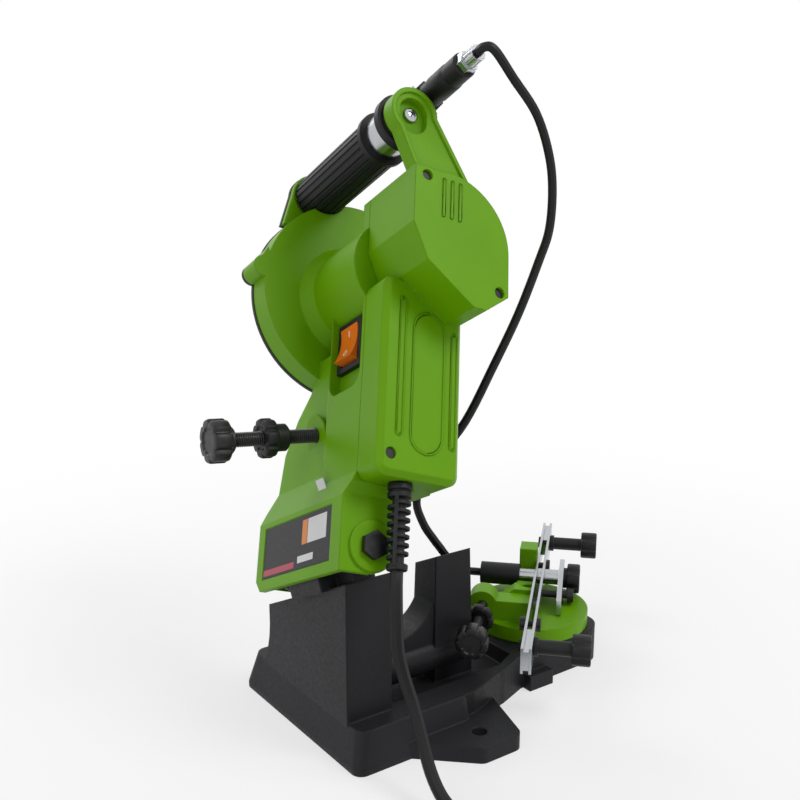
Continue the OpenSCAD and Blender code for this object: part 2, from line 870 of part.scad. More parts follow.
// Two bearings, each with an inner and an outer race and a shield between them
module ball_bearings() {
  color(steel) in_head() on_motor() for (x = [rear_bearing_x, front_bearing_x]) {
    ring_x(x, x + bearing_t, bearing_d / 2, bearing_d / 2 - bearing_race);
    ring_x(x + part_gap, x + bearing_t - part_gap, bearing_d / 2 - bearing_race, shaft_d / 2 + run_fit);
  }
}

module bearing_sleeves() {
  color(plastic_black) in_head() on_motor() for (x = [rear_bearing_x, front_bearing_x])
    ring_x(x, x + bearing_t, bearing_d / 2 + sleeve_t, bearing_d / 2);
}

brush_turn = 60;

module brush_holders() {
  w = brush_w + 2 * brush_wall;
  color("#B08D4F") in_head() on_motor() for (side = [0, 180]) rotate([side + brush_turn, 0, 0])
    difference() {
    translate([brush_x - w / 2, commutator_d / 2 + 2 * part_gap, -w / 2])
      cube([w, brush_end - commutator_d / 2 - 2 * part_gap, w]);
    translate([brush_x - brush_w / 2, commutator_d / 2, -brush_w / 2])
      cube([brush_w, brush_end - commutator_d / 2 - brush_wall, brush_w]);
  }
}

module carbon_brushes() {
  w = brush_w - run_fit;
  color("#202020") in_head() on_motor() for (side = [0, 180]) rotate([side + brush_turn, 0, 0])
    translate([brush_x - w / 2, commutator_d / 2 + run_fit, -w / 2]) cube([w, brush_l, w]);
}

// Hinge bolt with a hexagon head on the wheel side and a nut on the motor side
nut_t = 3.4;
nut_w = 15;
bush_r = 9;
spring_wire = 1.6;
spring_turns = 5.5;
hinge_bolt_out = 1.6;

module hinge_bolt() {
  color(plastic_black) in_head() {
    rod_x(-foot_in - nut_t - hinge_bolt_out, foot_end, hinge_bolt_d / 2);
    rod_x(foot_end + part_gap, foot_end + nut_t, nut_w / 2, $fn = 6);
    rod_x(foot_end, foot_end + part_gap, hinge_bolt_d / 2);
  }
}

module hinge_nut() {
  a = -foot_in - boss_ring_t - part_gap;
  color(plastic_black) in_head() difference() {
    translate([a - nut_t, 0, 0]) rotate([0, 90, 0]) cylinder(d = nut_w, h = nut_t, $fn = 6);
    rod_x(a - nut_t - cut, a + cut, hinge_bolt_d / 2);
  }
}

// Washers that keep the foot clear of the barrel on both sides
module hinge_bushes() {
  color("#D8D4C8") in_head() {
    ring_x(cheek - foot_in + part_gap / 2, -barrel_in, bush_r, hinge_bolt_d / 2 + run_fit);
    ring_x(barrel_out, foot_end - cheek - part_gap / 2, bush_r, hinge_bolt_d / 2 + run_fit);
  }
}

// Tube of round section swept along points, closed at both ends
function unit(v) = v / norm(v);
function path_dir(p, i) = unit(p[min(i + 1, len(p) - 1)] - p[max(i - 1, 0)]);
function side_of(t, s) = unit(s - (s * t) * t);
function sides_along(p, i = 0, s = [0, 0, 1]) =
  let(t = path_dir(p, i), n = side_of(t, i == 0 && abs(t.z) > 0.9 ? [1, 0, 0] : s))
  i == len(p) - 1 ? [n] : concat([n], sides_along(p, i + 1, n));
module swept(p, r, n) {
  s = sides_along(p);
  rings = [for (i = [0 : len(p) - 1]) let(t = path_dir(p, i), b = cross(t, s[i]))
    for (k = [0 : n - 1]) p[i] + r * (cos(360 * k / n) * s[i] + sin(360 * k / n) * b)];
  walls = [for (i = [0 : len(p) - 2], k = [0 : n - 1]) let(a = i * n + k, b = i * n + (k + 1) % n)
    for (f = [[a, b, b + n], [a, b + n, a + n]]) f];
  caps = concat([for (k = [1 : n - 2]) [0, k + 1, k]],
    [for (k = [1 : n - 2]) let(o = (len(p) - 1) * n) [o, o + k, o + k + 1]]);
  polyhedron(points = rings, faces = [for (f = concat(walls, caps)) [f[0], f[2], f[1]]]);
}

// Points of a smooth curve through hand chosen points
function smooth_at(p, i, t) =
  let(a = p[max(i - 1, 0)], b = p[i], c = p[i + 1], d = p[min(i + 2, len(p) - 1)])
  0.5 * (2 * b + t * (c - a) + t * t * (2 * a - 5 * b + 4 * c - d) + t * t * t * (3 * b - a - 3 * c + d));
function smooth(p, n) = concat([for (i = [0 : len(p) - 2], k = [0 : n - 1]) smooth_at(p, i, k / n)],
  [p[len(p) - 1]]);

// Torsion spring round the washer of the hinge, with its first leg on the barrel
spring_r = 10.7;
spring_pitch = 1.75;
spring_steps = 12;
spring_leg = 1.4;
spring_pts = concat([[barrel_out, spring_r, 0], [barrel_out + spring_leg / 2, spring_r, 0]],
  [for (i = [0 : spring_turns * spring_steps]) let(a = i * 360 / spring_steps)
    [barrel_out + spring_leg + i * spring_pitch / spring_steps, spring_r * cos(a), spring_r * sin(a)]]);

module return_spring() {
  color(steel) in_head() swept(spring_pts, spring_wire / 2, coil_fn);
}

// Switch: body with a bezel, and a rocker that tips about a pin across it
module switch_body() {
  color(plastic_black) in_head() switch_place() difference() {
    union() {
      translate([-switch_w / 2 - bezel, 0, -switch_h / 2 - bezel])
        cube([switch_w + 2 * bezel, 2 * bezel, switch_h + 2 * bezel]);
      translate([-switch_w / 2 + run_fit, -switch_d, -switch_h / 2 + run_fit])
        cube([switch_w - 2 * run_fit, switch_d, switch_h - 2 * run_fit]);
    }
    translate([-switch_w / 2 + bezel, -rocker_deep, -switch_h / 2 + bezel])
      cube([switch_w - 2 * bezel, rocker_deep + 2 * bezel + cut, switch_h - 2 * bezel]);
  }
}
rocker_deep = 9;
rocker_pin_d = 2.5;
rocker_tip = 7;
rocker_tilt = 9;

module switch_rocker() {
  w = switch_w - 2 * bezel - 2 * rocker_gap;
  h = switch_h - 2 * bezel - 4 * rocker_gap;
  color("#E07A2C") in_head() switch_place() rotate([rocker_tilt, 0, 0]) along_x(-w / 2, w / 2)
    difference() {
      polygon([[-rocker_tip, -h / 4], [0, rocker_gap - h / 2], [rocker_tip, rocker_gap - h / 2],
        [rocker_tip, h / 2 - rocker_gap], [0, h / 2 - rocker_gap], [-rocker_tip, h / 4]]);
      translate([rocker_tip + rocker_r - 2 * bezel, 0]) circle(r = rocker_r);
    }
}

// Strain relief: collar, core and ribs in two rows with gaps between them
module strain_relief() {
  pitch = (relief_l - relief_collar_d / 2) / relief_ribs;
  color(plastic_black) in_head() translate([relief_x, relief_y, box_low]) {
    translate([0, 0, -relief_collar_d / 4]) cylinder(d = relief_collar_d,
      h = relief_collar_d / 4 - part_gap / 2);
    translate([0, 0, -part_gap]) cylinder(d = relief_d - 2 * run_fit, h = shell_wall + 2 * part_gap);
    translate([0, 0, -relief_l]) cylinder(d = relief_core_d, h = relief_l - part_gap);
    for (i = [0 : relief_ribs - 1]) translate([0, 0, -relief_collar_d / 2 - i * pitch - relief_rib_t])
      cylinder(d = relief_collar_d - i * relief_taper, h = relief_rib_t);
  }
}
relief_taper = 0.15;

// Handle: tube between the two lugs, rubber grip with a flange
grip_flange_d = 31;
grip_flange_t = 3;
tube_wall = 2;
tube_cap = 12;
grip_ribs = 22;
rib_deep = 0.8;

module handle_tube() {
  color(steel) in_head() handle_axis() difference() {
    rod_x(lug_skin + part_gap / 4 - lug_out, guard_w, tube_d / 2);
    rod_x(tube_cap - lug_out, guard_w - tube_cap, tube_d / 2 - tube_wall);
    rod_x(-lug_out, guard_w + cut, handle_screw_d / 2);
  }
}

module handle_grip() {
  color(plastic_black) in_head() handle_axis() translate([far_lug_x, 0, 0]) {
    along_x(grip_flange_t - grip_l, -part_gap) difference() {
      circle(d = grip_d);
      circle(d = tube_d);
      for (i = [0 : grip_ribs - 1]) rotate(i * 360 / grip_ribs) translate([grip_d / 2, 0])
        circle(r = rib_deep, $fn = 8);
    }
    ring_x(-grip_l, grip_flange_t - grip_l, grip_flange_d / 2, tube_d / 2);
  }
}

// Lever perch: clamp on the tube, fork for the lever and a bar for the cable
bar_turn = 125.5;
perch_out = 96.5;
perch_in = 85;
perch_r = 16;
pivot_x = -86.5;
pivot_d = 4;
fork_gap = 5.3;
fork_out = 8;
fork_r = 5;
hub_half = 5;
lever_l = 66;
lever_t = 5;
lever_rise = 6;

module on_bar() {
  handle_axis() rotate([bar_turn, 0, 0]) translate([0, bar_offset, 0]) children();
}

module lever_perch() {
  color(plastic_black) in_head() {
    handle_axis() ring_x(-perch_out + part_gap, -perch_in, perch_r, tube_d / 2);
    difference() {
      on_bar() {
        rod_x(-perch_out - bar_l + fork_out, -perch_out + fork_r, bar_d / 2);
        translate([-perch_out + part_gap, perch_r - bar_offset - part_gap, -fork_out])
          cube([fork_r - part_gap, bar_offset - perch_r + fork_r, 2 * fork_out]);
        for (side = [-1, 1]) translate([-perch_out + part_gap, -fork_r, side * (fork_gap + fork_out) / 2])
          linear_extrude(fork_out - fork_gap, center = true) {
            square([perch_out + pivot_x, 2 * fork_r]);
            translate([perch_out + pivot_x, fork_r]) circle(r = fork_r);
          }
      }
      handle_axis() rod_x(-perch_out, -perch_in, tube_d / 2);
      on_bar() translate([pivot_x, 0, 0]) cylinder(d = pivot_d, h = big, center = true);
      on_bar() rod_x(-perch_out - bar_l, -perch_out + bar_d, cable_d / 4);
    }
  }
}

module brake_lever() {
  color(plastic_black) in_head() on_bar() translate([pivot_x, 0, 0]) difference() {
    union() {
      cylinder(r = hub_half - part_gap, h = 2 * hub_half, center = true);
      linear_extrude(2 * hub_half, center = true)
        polygon([[0, -lever_t / 2], [lever_l, lever_rise - lever_t / 2], [lever_l + lever_t,
          lever_rise + lever_t],
          [lever_l, lever_rise + lever_t], [lever_l - 2 * lever_t, lever_rise + lever_t / 2 - part_gap],
            [0, lever_t / 2]]);
    }
    cylinder(d = pivot_d + 2 * run_fit, h = big, center = true);
  }
}

module lever_pivot() {
  color(steel) in_head() on_bar() translate([pivot_x, 0, 0]) {
    cylinder(d = pivot_d, h = 2 * fork_out + 2 * part_gap, center = true);
    for (side = [-1, 1]) translate([0, 0, side * (fork_out + pivot_d / 4)])
      cylinder(d = 2 * pivot_d, h = pivot_d / 2, center = true);
  }
}

adjuster_d = 9;
adjuster_nut = 4;
adjuster_l = 11.65;
bar_end = -perch_out - bar_l + fork_out;

module cable_adjuster() {
  color(steel) in_head() on_bar() {
    rod_x(bar_end - adjuster_nut, bar_end, adjuster_d * 2 / 3, $fn = 6);
    along_x(bar_end - adjuster_l, bar_end - adjuster_nut) difference() {
      circle(d = adjuster_d);
      for (i = [0 : slots - 1]) rotate(i * 360 / slots) translate([adjuster_d / 2, 0])
        circle(r = rib_deep / 2, $fn = 8);
    }
  }
}

module knob(d, h, lobes) {
  difference() {
    cylinder(d = d, h = h);
    for (i = [0 : lobes - 1]) rotate(i * 360 / lobes) translate([d / 2 + d / 12, 0, -cut])
      cylinder(d = d / 4, h = h + 2 * cut, $fn = soft_fn);
  }
}

// Reach of the depth screw: its tip meets the tower at the lowest swing
depth_lean = swing_lean - depth_tilt;
tip_drop = tower_drop - part_gap - depth_rod_d / 2 * cos(depth_lean);
depth_reach = (arm_back * sin(swing_lean) + depth_h * cos(swing_lean) + tip_drop) / sin(depth_lean);
depth_knob_t = 10;
lock_at = 28;
lock_t = 7;
lock_hub_d = 15;
lock_hub_l = 8;
knob_lobes = 7;

module depth_screw() {
  color(plastic_black) in_head() depth_axis() {
    rotate([-90, 0, 0]) translate([0, 0, -depth_reach])
      cylinder(d = depth_rod_d, h = depth_reach + depth_out - depth_knob_t);
    translate([0, depth_out - depth_knob_t, 0]) rotate([-90, 0, 0]) knob(depth_knob_d, depth_knob_t,
      knob_lobes);
    translate([0, depth_out - depth_knob_t - shell_wall, 0]) rotate([-90, 0, 0])
      cylinder(d = lock_hub_d, h = shell_wall);
  }
}

module depth_lock_knob() {
  color(plastic_black) in_head() depth_axis() difference() {
    union() {
      translate([0, lock_at, 0]) rotate([-90, 0, 0]) knob(depth_lock_d, lock_t, knob_lobes);
      translate([0, lock_at - lock_hub_l, 0]) rotate([-90, 0, 0]) cylinder(d = lock_hub_d, h = lock_hub_l);
    }
    rotate([90, 0, 0]) cylinder(d = depth_rod_d + 2 * run_fit, h = big, center = true);
  }
}

// Vise: turntable with the rail, its clamp and the stop screw
rail_y = -5;
rail_mid = rail_lift + rail_h / 2;
table_gap = 0.3;
pedestal_in = -26;
pedestal_out = 44;
pedestal_d = 11;
tall_lug_x = 28;
tall_lug_w = 14;
tall_lug_h = 36;
pivot_head_d = 12;
pivot_head_h = 3;
pivot_shank_d = 8;
stop_y = 27;
stop_z = 18;
stop_r = 9;
stop_boss_a = -26;
stop_boss_b = -12;
stop_rod_d = 6;
stop_end = -80;
stop_knob_t = 10;
stop_knob_d = 19;
stop_lock_at = -48;
stop_lock_t = 5;
stop_lock_d = 18;
clamp_x = 20;
cyl_d = 14;
cyl_back = 33;
cyl_front = 8;
rod_d = 9.5;
plate_y = -17;
plate_t = 3;
plate_a = -14;
plate_b = 30;
plate_low = 10;
plate_high = 29;
clamp_knob_d = 18.5;
clamp_knob_t = 10;
clamp_thread_d = 6;
clamp_travel = 2;
peg_d = 8.5;
peg_l = 21;
peg_head_d = 17.5;
peg_head_t = 10.5;
guide_x = 6;
guide_d = 4.5;
guide_z = 15;
guide_l = 18;
rail_screw_d = 4;
rail_screws_x = [-52, 38];
web_in = 70.5;
web_drop = 2;
socket_r = 8.2;
socket_deep = 5.5;
socket_slide = 4;
lug_rim = 2.6;
lug_sunk = 1.3;
flare_l = 8;
flare_r = 34;
lock_below = 6.5;
lock_below_d = 24;

module in_vise() {
  translate([vise_x, -vise_front, plinth_h]) rotate([0, 0, -vise_swivel]) children();
}

module swivel_bore() {
  translate([vise_x, -vise_front, 0]) cylinder(d = pivot_shank_d + 2 * run_fit, h = big, center = true);
}

// Bar along the clamp line, from one Y to another
module rod_y(x, z, from, to, r) {
  translate([x, from, z]) rotate([-90, 0, 0]) cylinder(r = r, h = to - from);
}

rear_face = rail_y + rail_slot / 2 + rail_t;
front_face = rail_y - rail_slot / 2 - rail_t;

module turntable() {
  color(plastic_green) in_vise() difference() {
    union() {
      translate([0, 0, table_gap]) cylinder(r = table_r, h = table_t - table_gap);
      translate([pedestal_in, rear_face, table_t - cut])
        cube([pedestal_out - pedestal_in, pedestal_d, rail_mid - table_t]);
      translate([tall_lug_x, rear_face, table_t - cut]) cube([tall_lug_w, pedestal_d,
        tall_lug_h - table_t]);
      translate([stop_boss_a, rear_face, table_t - cut])
        cube([stop_boss_b - stop_boss_a, stop_y - rear_face, stop_z - table_t + stop_r / 2]);
      translate([0, stop_y, stop_z]) rod_x(stop_boss_a, stop_boss_b, stop_r);
      hull() {
        translate([stop_boss_b, rear_face, table_t]) cube([pedestal_d, pedestal_d, rail_h]);
        translate([stop_boss_b, rear_face, table_t]) cube([pedestal_d, stop_y - rear_face, part_gap]);
      }
    }
    cylinder(d = pivot_shank_d + 2 * run_fit, h = big, center = true);
    translate([0, 0, table_t]) cylinder(d = pivot_head_d + 2 * bezel, h = big);
    translate([0, stop_y, stop_z]) rod_x(-big, stop_boss_b + cut, stop_rod_d / 2 + run_fit);
    rod_y(clamp_x, rail_mid, rear_face - cut, big, cyl_d / 2 + part_gap);
    for (x = rail_screws_x) rod_y(x, rail_mid, 0, pedestal_d, rail_screw_d / 2);
  }
}

module swivel_bolt() {
  color(steel) in_vise() {
    translate([0, 0, -plinth_h + under_floor - lock_below]) cylinder(d = pivot_shank_d,
      h = plinth_h - under_floor + table_t + lock_below);
    difference() {
      translate([0, 0, table_t]) cylinder(d = pivot_head_d, h = pivot_head_h);
      translate([-pivot_head_d, -bezel / 2, table_t + pivot_head_h / 2]) cube([2 * pivot_head_d, bezel,
        pivot_head_h]);
    }
  }
}

module swivel_lock_knob() {
  color(plastic_black) in_vise() translate([0, 0, -plinth_h + under_floor - lock_below / 2 - part_gap])
    difference() {
    translate([0, 0, -lock_below / 2]) cylinder(d = lock_below_d, h = lock_below);
    cylinder(d = pivot_shank_d + 2 * run_fit, h = big, center = true);
  }
}

module rail_strip(y) {
  difference() {
    translate([-rail_l / 2, y, rail_lift]) cube([rail_l, rail_t, rail_h]);
    rod_y(clamp_x, rail_mid, y - cut, y + rail_t + cut, rod_d / 2 + part_gap);
    for (x = [-peg_x, peg_x, rail_screws_x[0], rail_screws_x[1]])
      rod_y(x, rail_mid, y - cut, y + rail_t + cut, rail_screw_d / 2);
  }
}

// The rear strip carries the webs that hold the two strips apart at their ends
module rear_chain_rail() {
  color(steel) in_vise() {
    rail_strip(rail_y + rail_slot / 2);
    for (x = [-rail_l / 2, web_in]) difference() {
      translate([x, rail_y - rail_slot / 2, rail_lift + web_drop])
        cube([rail_l / 2 - web_in, rail_slot, rail_h - 2 * web_drop]);
      for (peg = [-peg_x, peg_x]) rod_y(peg, rail_mid, front_face, rear_face, rail_screw_d / 2);
    }
  }
}

module front_chain_rail() {
  color(steel) in_vise() rail_strip(rail_y - rail_slot / 2 - rail_t);
}

module rail_screws() {
  color(plastic_black) in_vise() for (x = rail_screws_x) {
    rod_y(x, rail_mid, front_face - rail_screw_d / 2, front_face, rail_screw_d);
    rod_y(x, rail_mid, front_face, rear_face, rail_screw_d / 2);
    if (x < pedestal_in) rod_y(x, rail_mid, rear_face, rear_face + rail_screw_d, rail_screw_d);
  }
}

module chain_pegs() {
  color(plastic_black) in_vise() for (x = [-peg_x, peg_x]) {
    rod_y(x, rail_mid, front_face - peg_l, front_face, peg_d / 2);
    translate([x, front_face - peg_l, rail_mid]) rotate([90, 0, 0]) knob(peg_head_d, peg_head_t,
      knob_lobes);
    rod_y(x, rail_mid, front_face, rear_face, rail_screw_d / 2);
    rod_y(x, rail_mid, rear_face, rear_face + rail_screw_d / 2, rail_screw_d);
  }
}

module clamp_cylinder() {
  color(plastic_black) in_vise() difference() {
    rod_y(clamp_x, rail_mid, cyl_front, cyl_back, cyl_d / 2);
    rod_y(clamp_x, rail_mid, cyl_front - cut, cyl_back - shell_wall, rod_d / 2 + run_fit);
    rod_y(clamp_x, rail_mid, cyl_front, cyl_back + cut, cable_d / 4);
  }
}

module clamp_rod() {
  color(steel) in_vise() {
    rod_y(clamp_x, rail_mid, plate_y, cyl_front + rod_d, rod_d / 2);
    rod_y(clamp_x, rail_mid, plate_y - plate_t - clamp_knob_t, plate_y, clamp_thread_d / 2);
  }
}

module clamp_plate() {
  color(steel) in_vise() difference() {
    along_y(plate_y - plate_t, plate_y) polygon([[plate_a, plate_low], [plate_b - peg_d, plate_low],
      [plate_b, rail_mid - clamp_thread_d], [plate_b, plate_high], [clamp_x - clamp_knob_d / 2,
        plate_high],
      [plate_a, plate_low + clamp_knob_d / 2]]);
    rod_y(clamp_x, rail_mid, plate_y - plate_t - cut, plate_y + cut, clamp_thread_d / 2);
    rod_y(guide_x, guide_z, plate_y - plate_t - cut, plate_y + cut, guide_d / 2 + part_gap);
  }
}

module clamp_knob() {
  color(plastic_black) in_vise() difference() {
    translate([clamp_x, plate_y - plate_t, rail_mid]) rotate([90, 0, 0]) knob(clamp_knob_d,
      clamp_knob_t, knob_lobes);
    rod_y(clamp_x, rail_mid, plate_y - plate_t - clamp_knob_t - cut, plate_y, clamp_thread_d / 2);
  }
}

// Guide bolt that keeps the clamp plate square to the rail
module guide_bolt() {
  color("#55585C") in_vise() {
    rod_y(guide_x, guide_z, front_face - guide_l, front_face, guide_d / 2);
    rod_y(guide_x, guide_z, plate_y - plate_t - 2 * part_gap - rail_screw_d - clamp_travel,
      plate_y - plate_t - 2 * part_gap - clamp_travel, guide_d);
  }
}

module stop_screw() {
  color(plastic_black) in_vise() translate([0, stop_y, stop_z]) {
    rod_x(stop_end + stop_knob_t, stop_boss_b, stop_rod_d / 2);
    translate([stop_end, 0, 0]) rotate([0, 90, 0]) knob(stop_knob_d, stop_knob_t, knob_lobes);
  }
}

module stop_lock_knob() {
  color(plastic_black) in_vise() translate([0, stop_y, stop_z]) difference() {
    union() {
      translate([stop_lock_at, 0, 0]) rotate([0, 90, 0]) knob(stop_lock_d, stop_lock_t, knob_lobes);
      rod_x(stop_lock_at + stop_lock_t, stop_lock_at + 2 * stop_lock_t, stop_rod_d);
    }
    rod_x(-big, big, stop_rod_d / 2 + run_fit);
  }
}

// Screws of the motor cover and of the guard cover
module case_screws() {
  head = case_hole_d - 2 * part_gap;
  color(plastic_black) in_head() {
    on_motor() {
      for (p = [case_top_hole, case_low_hole]) translate([0, p.x, p.y])
        rod_x(-drum_x + case_hole_t - screw_head_h, -drum_x + case_hole_t, head / 2);
      translate(screw_lug_at_x()) {
        rod_x(guard_w + cover_t, guard_w + cover_t + screw_head_h / 2, case_screw_d);
        rod_x(guard_w, guard_w + cover_t, case_screw_d / 2);
      }
    }
    translate([0, case_box_hole_y, case_box_hole_z])
      rod_x(-box_x + shell_wall / 2 - part_gap, -box_x + case_hole_t / 2, head / 2);
  }
}

module handle_screws() {
  color(steel) in_head() handle_axis() {
    rod_x(socket_deep - lug_out - screw_head_h, socket_deep - lug_out, screw_head_r);
    rod_x(socket_deep - lug_out, socket_deep - lug_out + tube_cap, handle_screw_d / 2);
    rod_x(guard_w + cover_t, guard_w + cover_t + screw_head_h, screw_head_r);
    rod_x(guard_w - tube_cap / 2, guard_w + cover_t, handle_screw_d / 2);
  }
}

// Brake cable: from the adjuster to the hook on the tower, and on to the clamp
hook_at = [3, -32, 80];
hook_turn = [-37, 0, 0];
hook_l = 8;
cable_fn = 8;
cable_pts = [[-26.62, -29.14, 358.84], [-31.1, -29.14, 361.07], [-34.8, -33, 359.6], [-36, -45, 346],
  [-36, -61, 329], [-35.5, -71, 309], [-34.5, -75.5, 290], [-32, -76.5, 268], [-28, -73, 250],
  [-25, -62, 222], [-19, -50, 193], [-9, -38, 160], [3, -24, 134], [8, -17, 114], [6, -20, 99],
  [3, -26, 88], [3, -29, 84], [3, -32, 80]];
lower_pts = [[3, -32, 80], [3, -35, 76], [3, -38, 72], [9, -48, 62], [24, -57, 53], [38, -66, 46.5],
  [43, -75, 43.3],
  [41.3, -81, 42.5], [37.73, -84.49, 42.5], [34.13, -87.96, 42.5]];

module brake_cable_upper() {
  color(plastic_black) swept(smooth(cable_pts, 4), cable_d / 2, cable_fn);
}

module brake_cable_lower() {
  color(plastic_black) swept(smooth(lower_pts, 4), cable_d / 2, cable_fn);
}

// Mains cord: hanging part, put away coil and plug
cord_fn = 8;
cord_z = 3.4;
cord_pts = [[-69.4, 51.5, 111.68], [-72.04, 53.65, 106.39], [-74, 55, 98], [-75, 55.5, 87],
  [-75.5, 55, 73], [-77, 52.5, 59], [-81, 50, 45], [-90, 50.5, 29], [-99, 52, 17], [-109, 52, 8],
  [-120, 50, 4], [-134, 45, 3.4], [-148, 41.2, 3.4], [-155, 41, 3.4], [-162, 41, 3.4]];
coil_at = [-162, 93];
coil_pitch = 7;
coil_rise = 6.95;
coil_steps = 24;
coil_fn = 6;
coil_flip = 0.25;
lead_l = 26;
plug_z = 8;
plug_l = 34;
plug_w = 16;
plug_neck_l = 14;
plug_neck_d = 10;
pin_d = 4;
pin_l = 19;
pin_pitch = 19;

function coil_at_turn(t) =
  let(r = coil_in_r + coil_pitch * abs(t), a = -90 - 360 * (t + coil_turns / 2),
    lift = min(1, max(0, (t + coil_flip) / (2 * coil_flip))))
  [coil_at.x + r * cos(a), coil_at.y + r * sin(a), cord_z + coil_rise * lift];
coil_pts = [for (i = [0 : coil_turns * coil_steps]) coil_at_turn(i / coil_steps - coil_turns / 2)];
coil_end = coil_pts[len(coil_pts) - 1];
function coil_gap() = min([for (i = [0 : len(coil_pts) - 1], j = [i + coil_steps / 2 : 1 : len(coil_pts)
  - 1])
  norm(coil_pts[i] - coil_pts[j])]) - cord_d;
echo(least_gap_of_the_coil_to_itself = coil_gap());

module power_cord() {
  color(plastic_black) swept(smooth(cord_pts, 4), cord_d / 2, cord_fn);
}

module cord_coil() {
  lead = [for (s = [1 / 3, 2 / 3, 1]) [coil_end.x - lead_l * s, coil_end.y,
    coil_end.z + (plug_z - coil_end.z) * s * s * (3 - 2 * s)]];
  color(plastic_black) swept(concat(coil_pts, lead), cord_d / 2, coil_fn);
}

module mains_plug() {
  color(plastic_black) translate([coil_end.x - lead_l, coil_end.y, plug_z]) rotate([0, -90, 0]) {
    cylinder(d = plug_neck_d, h = plug_neck_l);
    translate([0, 0, plug_neck_l - cut]) hull() for (side = [-1, 1])
      translate([0, side * pin_pitch / 3, 0]) {
        cylinder(d = plug_w * 2 / 3, h = plug_l, $fn = soft_fn);
        translate([0, 0, plug_l / 3]) cylinder(d = plug_w - cut, h = plug_l * 2 / 3, $fn = soft_fn);
      }
    for (side = [-1, 1]) translate([0, side * pin_pitch / 2, plug_neck_l + plug_l - 2 * cut])
      cylinder(d = pin_d, h = pin_l);
  }
}

base_casting();
arm_housing();
motor_cover();
guard_cover();
grinding_wheel();
wheel_flanges();
flange_screw();
motor_shaft();
armature_core();
armature_windings();
commutator();
cooling_fan();
stator_core();
field_coils();
ball_bearings();
bearing_sleeves();
brush_holders();
carbon_brushes();
hinge_bolt();
hinge_nut();
hinge_bushes();
return_spring();
switch_body();
switch_rocker();
strain_relief();
power_cord();
cord_coil();
mains_plug();
handle_grip();
handle_tube();
lever_perch();
brake_lever();
lever_pivot();
cable_adjuster();
brake_cable_upper();
brake_cable_lower();
depth_screw();
depth_lock_knob();
turntable();
swivel_bolt();
swivel_lock_knob();
rear_chain_rail();
front_chain_rail();
rail_screws();
chain_pegs();
clamp_cylinder();
clamp_rod();
clamp_plate();
clamp_knob();
guide_bolt();
stop_screw();
stop_lock_knob();
case_screws();
handle_screws();
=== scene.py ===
"""Bench chain sharpener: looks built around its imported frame."""
import json
import math

import bmesh
import bpy
from mathutils import Matrix, Vector


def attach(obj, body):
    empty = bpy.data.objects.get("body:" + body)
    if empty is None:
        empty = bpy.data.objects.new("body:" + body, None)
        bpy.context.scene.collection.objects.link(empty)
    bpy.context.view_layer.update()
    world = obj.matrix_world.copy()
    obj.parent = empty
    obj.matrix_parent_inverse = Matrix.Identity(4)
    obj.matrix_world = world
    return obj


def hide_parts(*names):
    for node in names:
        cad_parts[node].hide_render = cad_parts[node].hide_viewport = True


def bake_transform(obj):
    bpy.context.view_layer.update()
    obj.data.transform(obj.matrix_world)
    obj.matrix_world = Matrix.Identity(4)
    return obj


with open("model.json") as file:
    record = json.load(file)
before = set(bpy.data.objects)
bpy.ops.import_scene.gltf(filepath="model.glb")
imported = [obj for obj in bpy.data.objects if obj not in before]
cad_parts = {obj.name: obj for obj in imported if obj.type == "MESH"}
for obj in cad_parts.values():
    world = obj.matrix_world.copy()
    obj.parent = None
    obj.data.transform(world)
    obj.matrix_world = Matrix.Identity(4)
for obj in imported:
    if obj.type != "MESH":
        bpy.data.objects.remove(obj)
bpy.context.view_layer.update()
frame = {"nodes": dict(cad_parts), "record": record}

nodes = frame["nodes"]
MM = 0.001


# Places, in millimetres and degrees, as in the part's source
def moved(x, y, z):
    """A move in millimetres."""
    return Matrix.Translation(Vector((x, y, z)) * MM)


def turned(degrees, axis):
    """A turn in degrees about a main axis."""
    return Matrix.Rotation(math.radians(degrees), 4, axis)


# The head leans on a slanted hinge
HINGE_AT, HEAD_TILT, HEAD_LEAN = (0, 54.5, 94), 26.5, 20
# On the head: handle, lever bar beside it, depth screw, switch and cord guard
HANDLE_AT = (0, 13.5, 219)
BAR_TURN, BAR_OFFSET = 125.5, 26
DEPTH_AT, DEPTH_TILT = (-8, 9, 68), -13.7
SWITCH_AT = (-37.5, 5, 112)
GUARD_AT = (-70, -8, 31)
# On the base: chain vise, and its stop screw
VISE_AT, VISE_TURN = (-3.5, -96.5, 22), -46
STOP_AT = (0, 27, 18)

head_place = moved(*HINGE_AT) @ turned(HEAD_TILT, "Y") @ turned(HEAD_LEAN, "X")
handle_place = head_place @ moved(*HANDLE_AT)
bar_place = handle_place @ turned(BAR_TURN, "X") @ moved(0, BAR_OFFSET, 0)
depth_place = head_place @ moved(*DEPTH_AT) @ turned(DEPTH_TILT, "X")
switch_place = head_place @ moved(*SWITCH_AT)
cord_guard_place = head_place @ moved(*GUARD_AT) @ turned(-90, "Y")
vise_place = moved(*VISE_AT) @ turned(VISE_TURN, "Z")
stop_place = vise_place @ moved(*STOP_AT)
# A turned piece is made about X: this turn lays its X along the Y of its place
ALONG_Y = turned(90, "Z")

# Camera
CAMERA_AT = (-479.4, 338.9, 320.9)
CAMERA_LOOK = (0.7925, -0.5593, -0.2386)
LENS, SENSOR = 49.5, 36
camera_data = bpy.data.cameras.new("view")
camera_data.lens = LENS
camera_data.sensor_width = SENSOR
camera = bpy.data.objects.new("view", camera_data)
bpy.context.scene.collection.objects.link(camera)
camera.location = Vector(CAMERA_AT) * MM
camera.rotation_euler = Vector(CAMERA_LOOK).to_track_quat("-Z", "Y").to_euler()
bpy.context.scene.camera = camera


